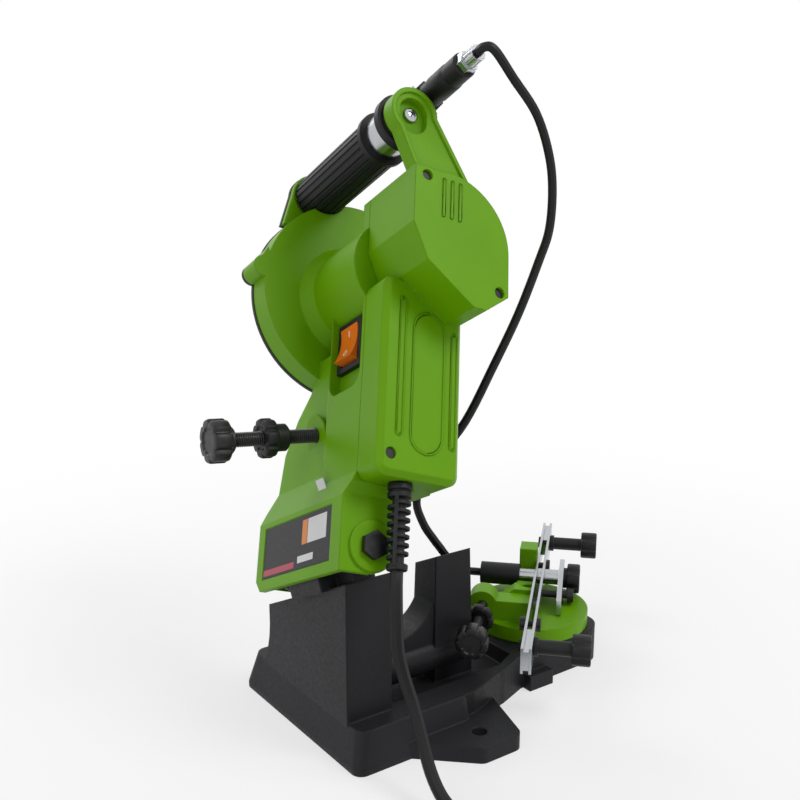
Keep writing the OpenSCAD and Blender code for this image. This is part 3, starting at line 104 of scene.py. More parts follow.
# Making of pieces
SMOOTH_PANEL, SMOOTH_TURNED, SMOOTH_TUBE = 35, 32, 40


def shade(mesh, angle):
    """Smooth faces, with a crease wherever two meet at more than an angle in degrees."""
    mesh.polygons.foreach_set("use_smooth", [True] * len(mesh.polygons))
    mesh.set_sharp_from_angle(angle=math.radians(angle))


def piece_of(name, bm, place, body, material, smooth=SMOOTH_PANEL):
    """A finished piece: its place goes into its mesh, and it rides on its body."""
    bm.transform(place)
    bmesh.ops.recalc_face_normals(bm, faces=bm.faces)
    mesh = bpy.data.meshes.new(name)
    bm.to_mesh(mesh)
    bm.free()
    obj = bpy.data.objects.new(name, mesh)
    bpy.context.scene.collection.objects.link(obj)
    mesh.materials.append(material)
    shade(mesh, smooth)
    if body:
        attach(obj, body)
    return obj


def dressed(name, make, place, body, slot, material, *stands_for):
    """A piece whose shape make() builds, and that stands for nodes of the part."""
    bm = bmesh.new()
    make(bm)
    obj = piece_of(name, bm, place, body, material, SMOOTH_TURNED)
    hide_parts(*stands_for)
    return obj


def join_into(bm, other):
    """Adds another bmesh to this one."""
    mesh = bpy.data.meshes.new("joined")
    other.to_mesh(mesh)
    other.free()
    bm.from_mesh(mesh)
    bpy.data.meshes.remove(mesh)


def bevelled(bm, edges, width_mm):
    bmesh.ops.bevel(bm, geom=edges, offset=width_mm * MM, segments=2, profile=0.5, affect="EDGES", material=-1,
                    clamp_overlap=True)


def sharp_edges(bm):
    """Edges where two faces meet at more than 60 degrees."""
    limit = math.radians(60)
    return [e for e in bm.edges if len(e.link_faces) == 2 and e.calc_face_angle(0) > limit]


def turned_solid(bm, outline, steps=40):
    """A solid turned about X from its outline: points of (place along X, radius) in millimetres."""
    solid = bmesh.new()
    verts = [solid.verts.new(Vector((x, 0, r)) * MM) for x, r in outline]
    edges = [solid.edges.new(pair) for pair in zip(verts, verts[1:])]
    bmesh.ops.spin(solid, geom=verts + edges, cent=(0, 0, 0), axis=(1, 0, 0), angle=math.tau, steps=steps,
                   use_merge=True)
    bmesh.ops.remove_doubles(solid, verts=solid.verts, dist=1e-6)
    bmesh.ops.recalc_face_normals(solid, faces=solid.faces)
    join_into(bm, solid)


def rod(bm, x0, x1, radius, chamfer=0.4):
    turned_solid(bm, [(x0, 0), (x0, radius - chamfer), (x0 + chamfer, radius), (x1 - chamfer, radius),
                      (x1, radius - chamfer), (x1, 0)])


def thread(bm, x0, x1, radius, pitch, height=0.35, steps=16):
    """A rolled thread: one triangular ridge that climbs a pitch each turn, its foot sunk in the rod."""
    foot, crest_at, end_at = -0.15, 0.4, 0.8
    ridge = bmesh.new()
    verts = [ridge.verts.new(Vector((x0 + along * pitch, 0, radius + up)) * MM)
             for along, up in ((0, foot), (crest_at, height), (end_at, foot))]
    edges = [ridge.edges.new((verts[i], verts[(i + 1) % 3])) for i in range(3)]
    count = int(((x1 - x0) / pitch - 1) * steps)
    bmesh.ops.spin(ridge, geom=verts + edges, cent=(0, 0, 0), axis=(1, 0, 0), dvec=(pitch * MM / steps, 0, 0),
                   angle=math.tau * count / steps, steps=count)
    bmesh.ops.holes_fill(ridge, edges=[e for e in ridge.edges if e.is_boundary], sides=4)
    join_into(bm, ridge)


def step_face(bm, face):
    """Extrudes one face and hands back its moved copy."""
    made = bmesh.ops.extrude_face_region(bm, geom=[face])["geom"]
    copy = next(f for f in made if isinstance(f, bmesh.types.BMFace))
    if face.is_valid:
        bmesh.ops.delete(bm, geom=[face], context="FACES_ONLY")
    return copy


def lobed_knob(bm, x0, x1, diameter, lobes=7, notch=0.13, edge=1.2, dish=0.7, sharp=3):
    """A moulded star knob: round lobes, narrow notches, rounded rims and a shallow dish in its end at x1."""
    per_lobe, shoulder, dish_rim, dish_floor = 14, 0.3, 0.66, 0.6
    star = bmesh.new()
    outline = bmesh.ops.create_circle(star, cap_ends=True, segments=lobes * per_lobe,
                                      radius=diameter / 2 * MM)["verts"]
    for v in outline:
        around = math.cos(lobes * math.atan2(v.co.y, v.co.x))
        v.co *= 1 - notch * max(0, around) ** sharp
    star.transform(moved(x0, 0, 0) @ turned(90, "Y"))
    way = 1 if x1 > x0 else -1
    span, rim = abs(x1 - x0), 1 - 2 * edge / diameter
    near_rim = 1 - shoulder * (1 - rim)
    # Steps along the knob: how far, and the outline's size there
    steps = [(0, rim), (shoulder * edge, near_rim), (edge, 1), (span - edge, 1),
             (span - shoulder * edge, near_rim), (span, rim), (span, dish_rim), (span - dish, dish_floor)]
    bmesh.ops.scale(star, vec=(1, rim, rim), verts=star.verts)
    star.faces.ensure_lookup_table()
    face = star.faces[0]
    for (far, size), (before, last) in zip(steps[1:], steps):
        face = step_face(star, face)
        bmesh.ops.translate(star, vec=(way * (far - before) * MM, 0, 0), verts=face.verts)
        bmesh.ops.scale(star, vec=(1, size / last, size / last), verts=face.verts)
    back = [e for e in star.edges if e.is_boundary]
    if back:
        bmesh.ops.contextual_create(star, geom=back)
    bmesh.ops.recalc_face_normals(star, faces=star.faces)
    join_into(bm, star)


def block(bm, low, high, edge):
    """A box with softened edges between two corners, in millimetres."""
    box = bmesh.new()
    bmesh.ops.create_cube(box, size=1)
    bmesh.ops.scale(box, vec=[(b - a) * MM for a, b in zip(low, high)], verts=box.verts)
    bmesh.ops.translate(box, vec=[(a + b) / 2 * MM for a, b in zip(low, high)], verts=box.verts)
    bevelled(box, box.edges[:], edge)
    join_into(bm, box)


def part_ring(bm, x0, x1, inner, outer, middle, sweep):
    """Part of a ring about X between two places along it, centred on an angle in degrees."""
    steps, edge = 14, 0.25
    arc = bmesh.new()
    bmesh.ops.create_grid(arc, x_segments=1, y_segments=1, size=0.5)
    bmesh.ops.scale(arc, vec=((x1 - x0) * MM, (outer - inner) * MM, 1), verts=arc.verts)
    bmesh.ops.translate(arc, vec=((x0 + x1) / 2 * MM, (inner + outer) / 2 * MM, 0), verts=arc.verts)
    bmesh.ops.rotate(arc, cent=(0, 0, 0), verts=arc.verts,
                     matrix=Matrix.Rotation(math.radians(middle - sweep / 2), 3, "X"))
    bmesh.ops.spin(arc, geom=arc.verts[:] + arc.edges[:] + arc.faces[:], cent=(0, 0, 0), axis=(1, 0, 0),
                   angle=math.radians(sweep), steps=steps)
    bmesh.ops.recalc_face_normals(arc, faces=arc.faces)
    bevelled(arc, sharp_edges(arc), edge)
    join_into(bm, arc)


# A panel is made flat, facing Z, and turned to face -X
FACING_MINUS_X = Matrix(((0, 0, -1, 0), (1, 0, 0, 0), (0, 1, 0, 0), (0, 0, 0, 1)))


def rounded_panel(centre, width, height, corner, thick, rim=0.0):
    """A rounded rectangle that faces -X, raised by thick, in millimetres; a rim leaves a frame that wide."""
    corner_steps = 8
    bm = bmesh.new()
    bmesh.ops.create_grid(bm, x_segments=1, y_segments=1, size=0.5)
    bmesh.ops.scale(bm, vec=(width * MM, height * MM, 1), verts=bm.verts)
    bmesh.ops.bevel(bm, geom=bm.verts[:], offset=corner * MM, segments=corner_steps, profile=0.5,
                    affect="VERTICES", material=-1)
    bm.faces.ensure_lookup_table()
    face = bm.faces[0]
    if rim:
        bmesh.ops.inset_region(bm, faces=[face], thickness=rim * MM, use_even_offset=True, use_boundary=True)
        bmesh.ops.delete(bm, geom=[face], context="FACES")
    raised = bmesh.ops.extrude_face_region(bm, geom=bm.faces[:])["geom"]
    bmesh.ops.translate(bm, vec=(0, 0, thick * MM),
                        verts=[v for v in raised if isinstance(v, bmesh.types.BMVert)])
    bm.transform(moved(*centre) @ FACING_MINUS_X)
    return bm


def swept_tube(name, points, diameter, material):
    """A mesh tube of one diameter along points, from a bevelled curve."""
    quarter_steps = 2
    curve = bpy.data.curves.new(name, "CURVE")
    curve.dimensions = "3D"
    curve.bevel_depth = diameter / 2
    curve.bevel_resolution = quarter_steps
    curve.use_fill_caps = True
    spline = curve.splines.new("POLY")
    spline.points.add(len(points) - 1)
    for point, at in zip(spline.points, points):
        point.co = (*at, 1)
    obj = bpy.data.objects.new(name, curve)
    bpy.context.scene.collection.objects.link(obj)
    bpy.context.view_layer.update()
    mesh = bpy.data.meshes.new_from_object(obj.evaluated_get(bpy.context.evaluated_depsgraph_get()))
    bpy.data.objects.remove(obj)
    mesh.name = name
    tube = bpy.data.objects.new(name, mesh)
    bpy.context.scene.collection.objects.link(tube)
    mesh.materials.clear()
    mesh.materials.append(material)
    shade(mesh, SMOOTH_TUBE)
    return tube


def smooth_route(points, steps):
    """Points in metres on a smooth curve through given points in millimetres."""
    route = []
    last = len(points) - 1
    for i in range(last):
        a, b, c, d = (Vector(points[k]) for k in (max(i - 1, 0), i, i + 1, min(i + 2, last)))
        for k in range(steps):
            t = k / steps
            route.append((2 * b + t * (c - a) + t * t * (2 * a - 5 * b + 4 * c - d)
                          + t ** 3 * (3 * b - a - 3 * c + d)) * 0.5 * MM)
    route.append(Vector(points[last]) * MM)
    return route


# Materials
def linear(code):
    """An sRGB hex colour as linear light."""
    values = [int(code[i:i + 2], 16) / 255 for i in (1, 3, 5)]
    return [v / 12.92 if v <= 0.04045 else ((v + 0.055) / 1.055) ** 2.4 for v in values] + [1]


def add(tree, kind, inputs=None, **settings):
    """Adds a node with its settings, its values and the links that feed it."""
    made = tree.nodes.new(kind)
    for name, value in settings.items():
        setattr(made, name, value)
    for name, value in (inputs or {}).items():
        if isinstance(value, bpy.types.NodeSocket):
            tree.links.new(value, made.inputs[name])
        else:
            made.inputs[name].default_value = value
    return made


def start(name):
    material = bpy.data.materials.new(name)
    material.use_nodes = True
    tree = material.node_tree
    tree.nodes.clear()
    return material, tree, add(tree, "ShaderNodeTexCoord").outputs["Object"]


def end(tree, **inputs):
    shader = add(tree, "ShaderNodeBsdfPrincipled", {k.replace("_", " "): v for k, v in inputs.items()})
    add(tree, "ShaderNodeOutputMaterial", {"Surface": shader.outputs[0]})


def per_metre(size_mm):
    """The scale of a pattern whose features are about that many millimetres across."""
    return 1 / (size_mm * MM)


def between(value, low, high):
    """Map Range values that spread the middle of a noise's range from low to high."""
    return {"Value": value, "From Min": 0.3, "From Max": 0.7, "To Min": low, "To Max": high}


def mottled(tree, value, first, second, low=0.3, high=0.7):
    """A colour that goes from one tone to another as a pattern's value goes from low to high."""
    share = add(tree, "ShaderNodeMapRange", {"Value": value, "From Min": low, "From Max": high})
    mix = add(tree, "ShaderNodeMix", {"Factor": share.outputs[0]}, data_type="RGBA")
    mix.inputs[6].default_value = linear(first)
    mix.inputs[7].default_value = linear(second)
    return mix.outputs[2]


def moulded_plastic(name, tone, tone_far, rough, grain_mm, grain_depth, edge_mm, specular=0.25):
    """Injection moulded plastic: an even colour, a soft sheen and the fine grain of its spark-eroded mould.

    The grain is drawn several times coarser than the real one, so that it shows.
    """
    material, tree, at = start(name)
    cloud = add(tree, "ShaderNodeTexNoise", {"Vector": at, "Scale": per_metre(45), "Detail": 2}).outputs[0]
    grain = add(tree, "ShaderNodeTexNoise", {"Vector": at, "Scale": per_metre(grain_mm),
                                             "Detail": 3}).outputs[0]
    rounded = add(tree, "ShaderNodeBevel", {"Radius": edge_mm * MM}, samples=6).outputs[0]
    bump = add(tree, "ShaderNodeBump", {"Height": grain, "Strength": 0.25, "Distance": grain_depth * MM,
                                        "Normal": rounded})
    gloss = add(tree, "ShaderNodeMapRange", between(grain, rough - 0.05, rough + 0.06))
    end(tree, Base_Color=mottled(tree, cloud, tone, tone_far), Roughness=gloss.outputs[0],
        Normal=bump.outputs[0], IOR=1.53, Specular_IOR_Level=specular)
    return material


def painted_casting(name):
    """Cast metal under black powder coat: coarse orange peel and slightly greyer high spots."""
    material, tree, at = start(name)
    peel = add(tree, "ShaderNodeTexNoise", {"Vector": at, "Scale": per_metre(1.6), "Detail": 4}).outputs[0]
    cloud = add(tree, "ShaderNodeTexNoise", {"Vector": at, "Scale": per_metre(60), "Detail": 3}).outputs[0]
    rounded = add(tree, "ShaderNodeBevel", {"Radius": 1.6 * MM}, samples=6).outputs[0]
    bump = add(tree, "ShaderNodeBump", {"Height": peel, "Strength": 0.3, "Distance": 0.12 * MM,
                                        "Normal": rounded})
    gloss = add(tree, "ShaderNodeMapRange", between(peel, 0.42, 0.58))
    end(tree, Base_Color=mottled(tree, cloud, "#1F1F21", "#26262A"), Roughness=gloss.outputs[0],
        Normal=bump.outputs[0], IOR=1.5, Specular_IOR_Level=0.2)
    return material


def polished_metal(name, tone, tone_far, rough, scratch_mm):
    """Bright metal, plated or pressed, with faint drawn lines, wider than the real ones so that they show."""
    material, tree, at = start(name)
    drawn = add(tree, "ShaderNodeMapping", {"Vector": at, "Scale": (1, 1, 40)}).outputs[0]
    lines = add(tree, "ShaderNodeTexNoise", {"Vector": drawn, "Scale": per_metre(scratch_mm),
                                             "Detail": 3}).outputs[0]
    rounded = add(tree, "ShaderNodeBevel", {"Radius": 0.4 * MM}, samples=6).outputs[0]
    bump = add(tree, "ShaderNodeBump", {"Height": lines, "Strength": 0.12, "Distance": 0.02 * MM,
                                        "Normal": rounded})
    gloss = add(tree, "ShaderNodeMapRange", between(lines, rough - 0.05, rough + 0.08))
    end(tree, Base_Color=mottled(tree, lines, tone, tone_far), Metallic=1.0, Roughness=gloss.outputs[0],
        Normal=bump.outputs[0])
    return material


def black_oxide(name):
    """Steel blackened in salt: dark, a little oily, with a brown-grey break."""
    material, tree, at = start(name)
    cloud = add(tree, "ShaderNodeTexNoise", {"Vector": at, "Scale": per_metre(4), "Detail": 4}).outputs[0]
    gloss = add(tree, "ShaderNodeMapRange", between(cloud, 0.3, 0.45))
    end(tree, Base_Color=mottled(tree, cloud, "#1B1B1D", "#2A2928"), Roughness=gloss.outputs[0], IOR=1.5,
        Specular_IOR_Level=0.3)
    return material


def dull_black(name, tone, rough):
    """Soft PVC or pressed carbon: matt, and faintly mottled by a bloom drawn coarse enough to show."""
    material, tree, at = start(name)
    bloom = add(tree, "ShaderNodeTexNoise", {"Vector": at, "Scale": per_metre(0.7), "Detail": 3}).outputs[0]
    bump = add(tree, "ShaderNodeBump", {"Height": bloom, "Strength": 0.2, "Distance": 0.05 * MM})
    gloss = add(tree, "ShaderNodeMapRange", between(bloom, rough - 0.05, rough + 0.05))
    end(tree, Base_Color=mottled(tree, bloom, tone, "#1D1D1F"), Roughness=gloss.outputs[0],
        Normal=bump.outputs[0], IOR=1.5, Specular_IOR_Level=0.25)
    return material


def grit(name):
    """Vitrified corundum wheel: rough pink-brown grit, drawn about twice as coarse as it is, to show."""
    material, tree, at = start(name)
    grains = add(tree, "ShaderNodeTexVoronoi", {"Vector": at, "Scale": per_metre(0.8)})
    bump = add(tree, "ShaderNodeBump", {"Height": grains.outputs["Distance"], "Strength": 0.7,
                                        "Distance": 0.25 * MM})
    tones = add(tree, "ShaderNodeTexNoise", {"Vector": at, "Scale": per_metre(0.9), "Detail": 2}).outputs[0]
    end(tree, Base_Color=mottled(tree, tones, "#A8705A", "#D9B09A"), Roughness=0.95, Normal=bump.outputs[0])
    return material


def layered(name, tone, tone_far, rough, direction):
    """Stacked sheets or laid wire: fine bands one after another."""
    material, tree, at = start(name)
    bands = add(tree, "ShaderNodeTexWave", {"Vector": at, "Scale": per_metre(20), "Distortion": 0.6},
                wave_type="BANDS", bands_direction=direction).outputs[1]
    bump = add(tree, "ShaderNodeBump", {"Height": bands, "Strength": 0.5, "Distance": 0.15 * MM})
    end(tree, Base_Color=mottled(tree, bands, tone, tone_far, 0, 1), Metallic=1.0, Roughness=rough,
        Normal=bump.outputs[0])
    return material


def printed_film(name, tone, rough=0.4):
    """Printed film: an even ink under a thin laminate."""
    material, tree, at = start(name)
    fine = add(tree, "ShaderNodeTexNoise", {"Vector": at, "Scale": per_metre(1.5), "Detail": 2}).outputs[0]
    gloss = add(tree, "ShaderNodeMapRange", between(fine, rough - 0.04, rough + 0.04))
    end(tree, Base_Color=linear(tone), Roughness=gloss.outputs[0], IOR=1.49, Specular_IOR_Level=0.2)
    return material


# Arm and motor shells and the vise's turntable: bright green ABS with a satin sheen
green_abs = moulded_plastic("green_abs", "#68A000", "#649B00", 0.4, 0.5, 0.03, 1.2, 0.14)
# Knobs, lever, perch, guard cover, clamp cylinder, switch frame, cord guard, pegs and plug: black ABS
black_abs = moulded_plastic("black_abs", "#141415", "#19191B", 0.48, 0.35, 0.06, 0.7)
# Bushes of the hinge and fan of the motor: pale nylon
nylon = moulded_plastic("natural_nylon", "#DDD8CB", "#E5E1D6", 0.5, 0.6, 0.03, 0.3)
# Rocker: orange ABS, glossier than the rest
orange_abs = moulded_plastic("orange_abs", "#E8731A", "#E26C14", 0.3, 0.5, 0.02, 0.5)
# Base with its post
powder_coat = painted_casting("black_powder_coat")
# Rails, handle tube and its screws, clamp rod and plate, spindle, flanges: zinc plate over drawn steel
bright_steel = polished_metal("plated_steel", "#C4C6CA", "#A4A7AB", 0.18, 0.8)
# Hinge bolt and nut, depth and stop screws, guide bolt, and the screws of the case, wheel and rails
dark_steel = black_oxide("blackened_steel")
# Cord, brake cable and the ribbed grip
cord_pvc = dull_black("cord_pvc", "#111112", 0.5)
wheel_grit = grit("corundum")
# Inside the motor: sheet stacks, windings with the commutator, brush holders and brushes
iron_sheets = layered("laminated_iron", "#85898D", "#6B6F73", 0.45, "X")
copper_wire = layered("enamelled_copper", "#B5602A", "#7E3C18", 0.35, "Z")
brass_sheet = polished_metal("pressed_brass", "#C9A25A", "#B48B45", 0.3, 0.8)
carbon = dull_black("sintered_carbon", "#1A1A1B", 0.7)
# Label, sticker and the marks on the rocker
label_dark = printed_film("label_film", "#2A2A2D", 0.42)
label_pale = printed_film("label_pale", "#D9D9DA")
label_orange = printed_film("label_orange", "#D98A4B")
label_red = printed_film("label_red", "#B4505E")
white_print = printed_film("white_print", "#EDEDED", 0.45)

FINISH = {"green_plastic": green_abs, "black_plastic": black_abs, "black_casting": powder_coat,
          "rubber": cord_pvc, "steel": bright_steel, "black_steel": dark_steel, "orange_plastic": orange_abs,
          "abrasive": wheel_grit, "iron": iron_sheets, "copper": copper_wire, "brass": brass_sheet,
          "carbon": carbon, "nylon": nylon}
for part in frame["record"]["subparts"]:
    finish = FINISH[part["material_slot"]]
    # The guide bolt is blackened on the real one, while the steel round it is plated
    if part["node"] == "guide_bolt":
        finish = dark_steel
    nodes[part["node"]].data.materials.clear()
    nodes[part["node"]].data.materials.append(finish)

# Cord guard
GUARD_L, GUARD_R, GUARD_CORE, RIB_PITCH, RIB_T = 44, 6.3, 3.5, 4.2, 1.7
RIB_IN, RIB_OUT, RIB_TAPER, RIBS_FROM, RIBS_END = 3.2, 6.0, 0.08, 9.6, 3.4
# Angles round the guard: middle and sweep of the first row of ribs and of the first spine, and the way across
RIB_MIDDLE, RIB_SWEEP, SPINE_MIDDLE, SPINE_SWEEP, OPPOSITE = 135, 164, 45, 20, 180
SPINE_OUT, SPINE_START, SPINE_END, TAIL_R = 5.9, 7.4, 1.5, 5.4


def cord_guard_shape(bm):
    """Moulded cord guard: two collars, then ribs in turns on both sides of two spines, thinner to its end."""
    turned_solid(bm, [(-0.35, 0), (-0.35, 6.1), (-0.8, GUARD_R), (-3.4, GUARD_R), (-3.9, 5.8), (-3.9, 4.9),
                      (-4.9, 4.9), (-4.9, 5.7), (-5.3, 6.2), (-7.4, 6.1), (-7.8, 5.6), (-7.8, 0)])
    turned_solid(bm, [(-7, 0), (-7, GUARD_CORE), (-GUARD_L, GUARD_CORE - 0.1), (-GUARD_L, 0)], 24)
    count = int((GUARD_L - 10) / RIB_PITCH)
    for side in (0, 1):
        for i in range(count + 1):
            at = -RIBS_FROM - i * RIB_PITCH - side * RIB_PITCH / 2
            if at - RIB_T > -GUARD_L + RIBS_END:
                part_ring(bm, at - RIB_T, at, RIB_IN, RIB_OUT - RIB_TAPER * i, RIB_MIDDLE + OPPOSITE * side,
                          RIB_SWEEP)
    for middle in (SPINE_MIDDLE, SPINE_MIDDLE + OPPOSITE):
        part_ring(bm, -GUARD_L + SPINE_END, -SPINE_START, RIB_IN, SPINE_OUT, middle, SPINE_SWEEP)
    turned_solid(bm, [(-GUARD_L + 3.2, 0), (-GUARD_L + 3.2, TAIL_R - 0.4), (-GUARD_L + 2.8, TAIL_R),
                      (-GUARD_L + 0.5, TAIL_R - 0.1), (-GUARD_L, TAIL_R - 0.5), (-GUARD_L, 0)], 32)


cord_guard = dressed("cord_guard", cord_guard_shape, cord_guard_place, "head", "black_plastic", black_abs,
                     "strain_relief")

# Mains cord: from the guard down to the bench, into a coil of two layers, and out to the plug
CORD_D, CORD_STEPS, CORD_Z = 6.5, 4, 3.4
cord_points = [(-69.4, 51.5, 111.68), (-72.04, 53.65, 106.39), (-74, 55, 98), (-75, 55.5, 87),
               (-75.5, 55, 73), (-77, 52.5, 59), (-81, 50, 45), (-90, 50.5, 29), (-99, 52, 17), (-109, 52, 8),
               (-120, 50, 4), (-134, 44.6, CORD_Z), (-148, 40.8, CORD_Z), (-155, 40.6, CORD_Z),
               (-162, 40.6, CORD_Z)]
COIL_AT, COIL_IN, COIL_PITCH, COIL_TURNS, COIL_STEPS = (-162, 92.6), 27.5, 7, 7, 24
COIL_RISE, COIL_FLIP = 6.95, 0.25
LEAD, PLUG_Z = 26, 8


def coil_point(turn):
    """Where the coil is after so many turns: -3.5 at its foot, 0 between its two layers, 3.5 at its end."""
    radius = COIL_IN + COIL_PITCH * abs(turn)
    angle = math.radians(-90 - 360 * (turn + COIL_TURNS / 2))
    lift = min(1, max(0, (turn + COIL_FLIP) / (2 * COIL_FLIP)))
    return Vector((COIL_AT[0] + radius * math.cos(angle), COIL_AT[1] + radius * math.sin(angle),
                   CORD_Z + COIL_RISE * lift))


def lead_point(share):
    """A share of the way from the coil to the plug, with a soft rise."""
    rise = share * share * (3 - 2 * share)
    return Vector((coil_end.x - LEAD * share, coil_end.y, coil_end.z + (PLUG_Z - coil_end.z) * rise))


coil_points = [coil_point(i / COIL_STEPS - COIL_TURNS / 2) for i in range(COIL_TURNS * COIL_STEPS + 1)]
coil_end = coil_points[-1]
lead_points = [lead_point(share) for share in (0.2, 0.4, 0.6, 0.8, 1)]
cord_route = smooth_route(cord_points, CORD_STEPS) + [p * MM for p in coil_points[1:] + lead_points]
mains_cord = swept_tube("mains_cord", cord_route, CORD_D * MM, cord_pvc)
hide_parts("power_cord", "cord_coil")
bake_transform(mains_cord)

# Brake cable: one part from the lever to the base, one from the base to the vise
CABLE_D, CABLE_STEPS = 5.0, 6
upper_points = [(-26.62, -29.14, 358.84), (-31.1, -29.14, 361.07), (-34.8, -33, 359.6), (-36, -45, 346),
                (-36, -61, 329), (-35.5, -71, 309), (-34.5, -75.5, 290), (-32, -76.5, 268), (-28, -73, 250),
                (-25, -62, 222), (-19, -50, 193), (-9, -38, 160), (3, -24, 134), (8, -17, 114), (6, -20, 99),
                (3, -26, 88), (3, -29, 84), (3, -32, 80)]
lower_points = [(3, -32, 80), (3, -35, 76), (3, -38, 72), (9, -48, 62), (24, -57, 53), (38, -66, 46.5),
                (43, -75, 43.3), (41.3, -81, 42.5), (37.73, -84.49, 42.5), (34.13, -87.96, 42.5)]
upper_route = smooth_route(upper_points, CABLE_STEPS)
lower_route = smooth_route(lower_points, CABLE_STEPS)
# A point on the upper cable down at the arm, clear of the motor; the loop below carries it, and the bodies of
# each cable, without using them
BEND_FROM = Vector(upper_points[9]) * MM
for name, node, route, bodies, bend_at in (
        ("brake_cable_head", "brake_cable_upper", upper_route, ("head", "base"), BEND_FROM),
        ("brake_cable_vise", "brake_cable_lower", lower_route, ("base", "vise"), lower_route[2])):
    cable = swept_tube(name, route, CABLE_D * MM, cord_pvc)
    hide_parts(node)
    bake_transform(cable)

# Label on the foot, and the small sticker above it. Here a panel's own Y runs along -X of the head, so it is
# turned to face the rear
TURN_TO_REAR = Matrix(((0, -1, 0, 0), (-1, 0, 0, 0), (0, 0, 1, 0), (0, 0, 0, 1)))
rear_face = head_place @ TURN_TO_REAR
FILM_T, PRINT_T, FOOT_FACE = 0.3, 0.05, 17.1
FIELD_CORNER = 0.3


def rear_panel(name, x, z, y, width, height, corner, thick, material):
    """A panel on the rear of the head: x and z are its centre there, y the face it lies on."""
    bm = rounded_panel((-y, -x, z), width, height, corner, thick)
    piece_of(name, bm, rear_face, "head", material)


rear_panel("label_plate", -7, 6.5, FOOT_FACE, 79, 28, 1.5, FILM_T, label_dark)
for field, x, z, width, height, film in (("block_orange", -17, 11.5, 6, 13, label_orange),
                                         ("block_pale", -31, 11.5, 21, 13, label_pale),
                                         ("strip_red", 13, -4.5, 38, 3.4, label_red),
                                         ("strip_pale", -19, -2.5, 18, 3.6, label_pale)):
    rear_panel(f"label_{field}", x, z, FOOT_FACE + FILM_T, width, height, FIELD_CORNER, PRINT_T, film)
STICKER_AT, STICKER_TILT, STICKER_LIFT = (-27, 13.6, 33), -24.6, 0.15
sticker_place = head_place @ moved(*STICKER_AT) @ turned(STICKER_TILT, "X") @ TURN_TO_REAR
piece_of("blank_sticker", rounded_panel((STICKER_LIFT, 0, 0), 8.5, 11, FIELD_CORNER, FILM_T), sticker_place,
         "head", label_pale)

# Ribs and rims of the green shells
BOX_FACE, DRUM_FACE = -82, -108
RIB_SINK, RIB_EDGE, BOX_RIB_T, DRUM_RIB_T = 0.1, 0.25, 0.5, 0.6


def side_outline(name, face, y, z, width, height, corner, rim, thick=BOX_RIB_T):
    """A raised outline moulded on the motor side; y and z are its centre in the head's frame."""
    bm = rounded_panel((face + RIB_SINK, y, z), width, height, corner, thick, rim)
    bevelled(bm, sharp_edges(bm), RIB_EDGE)
    piece_of(name, bm, head_place, "head", green_abs)


side_outline("box_outline", BOX_FACE, -15, 82.5, 20, 77, 9.9, 1.2)
side_outline("box_rib_rear", BOX_FACE, 1, 89, 4.5, 75, 2.2, 1.0)
side_outline("box_rib_front", BOX_FACE, -30.5, 81, 4.5, 64, 2.2, 1.0)
for i, y in enumerate((-5, -10, -15)):
    side_outline(f"drum_rib_{i}", DRUM_FACE, y, 174, 1.4, 22, 0.6, 0.0, DRUM_RIB_T)

# Depth screw and its lock nut
DEPTH_R, DEPTH_IN, DEPTH_OUT, DEPTH_PITCH = 3.7, -35.3, 54, 1.25
DEPTH_KNOB, DEPTH_KNOB_D = (55, 65), 23.5
LOCK_BORE, LOCK_KNOB, LOCK_KNOB_D = 4.15, (28, 35), 21.5
# Collars of both knobs, and of the lock the sleeve before its knob
COLLAR_R, SLEEVE_IN, SLEEVE_OUT = 7.5, 20, 28.5


def depth_screw(bm):
    rod(bm, DEPTH_IN, DEPTH_OUT, DEPTH_R)
    thread(bm, DEPTH_IN + 1, DEPTH_OUT - 1, DEPTH_R, DEPTH_PITCH)
    turned_solid(bm, [(51.5, 0), (51.5, 6.6), (52.4, COLLAR_R), (55.5, COLLAR_R), (55.5, 0)])
    lobed_knob(bm, *DEPTH_KNOB, DEPTH_KNOB_D)


def depth_lock(bm):
    turned_solid(bm, [(SLEEVE_IN, LOCK_BORE), (SLEEVE_IN, COLLAR_R - 0.9), (SLEEVE_IN + 0.8, COLLAR_R),
                      (SLEEVE_OUT, COLLAR_R), (SLEEVE_OUT, LOCK_BORE), (SLEEVE_IN, LOCK_BORE)])
    lobed_knob(bm, *LOCK_KNOB, LOCK_KNOB_D)


dressed("depth_screw_turned", depth_screw, depth_place @ ALONG_Y, "depth_screw_body", "black_steel",
        dark_steel, "depth_screw")
dressed("depth_lock_star", depth_lock, depth_place @ ALONG_Y, "depth_lock", "black_plastic", black_abs,
        "depth_lock_knob")

# Chain vise: stop screw with its lock, pegs, and the nut of the clamp
STOP_R, STOP_FAR, STOP_NEAR, STOP_PITCH, STOP_RIDGE = 2.75, -72, -12, 1.0, 0.28
STOP_KNOB, STOP_KNOB_D = (-70, -80), 19
STOP_BORE, STOP_LOCK, STOP_LOCK_D, STOP_SLEEVE = 3.1, (-43, -48), 18, (-43.5, -38)
RAIL_MID, PEG_X, PEG_FACE, PEG_L, PLATE_Y, CLAMP_X = 20.5, 80, -8, 21, -17, 20
PEG_R, PEG_COLLAR_R, PEG_SHANK_R, PEG_FOOT_R, PEG_KNOB, PEG_KNOB_D = 4.2, 5.4, 1.95, 3.9, 10.5, 17.5
CLAMP_BORE, CLAMP_COLLAR_R, CLAMP_KNOB_D = 3.1, 6.4, 18.5
# The small knobs: lobes, notch, edge, dish and sharpness
SMALL_STAR = (5, 0.16, 1.0, 0.5, 2)


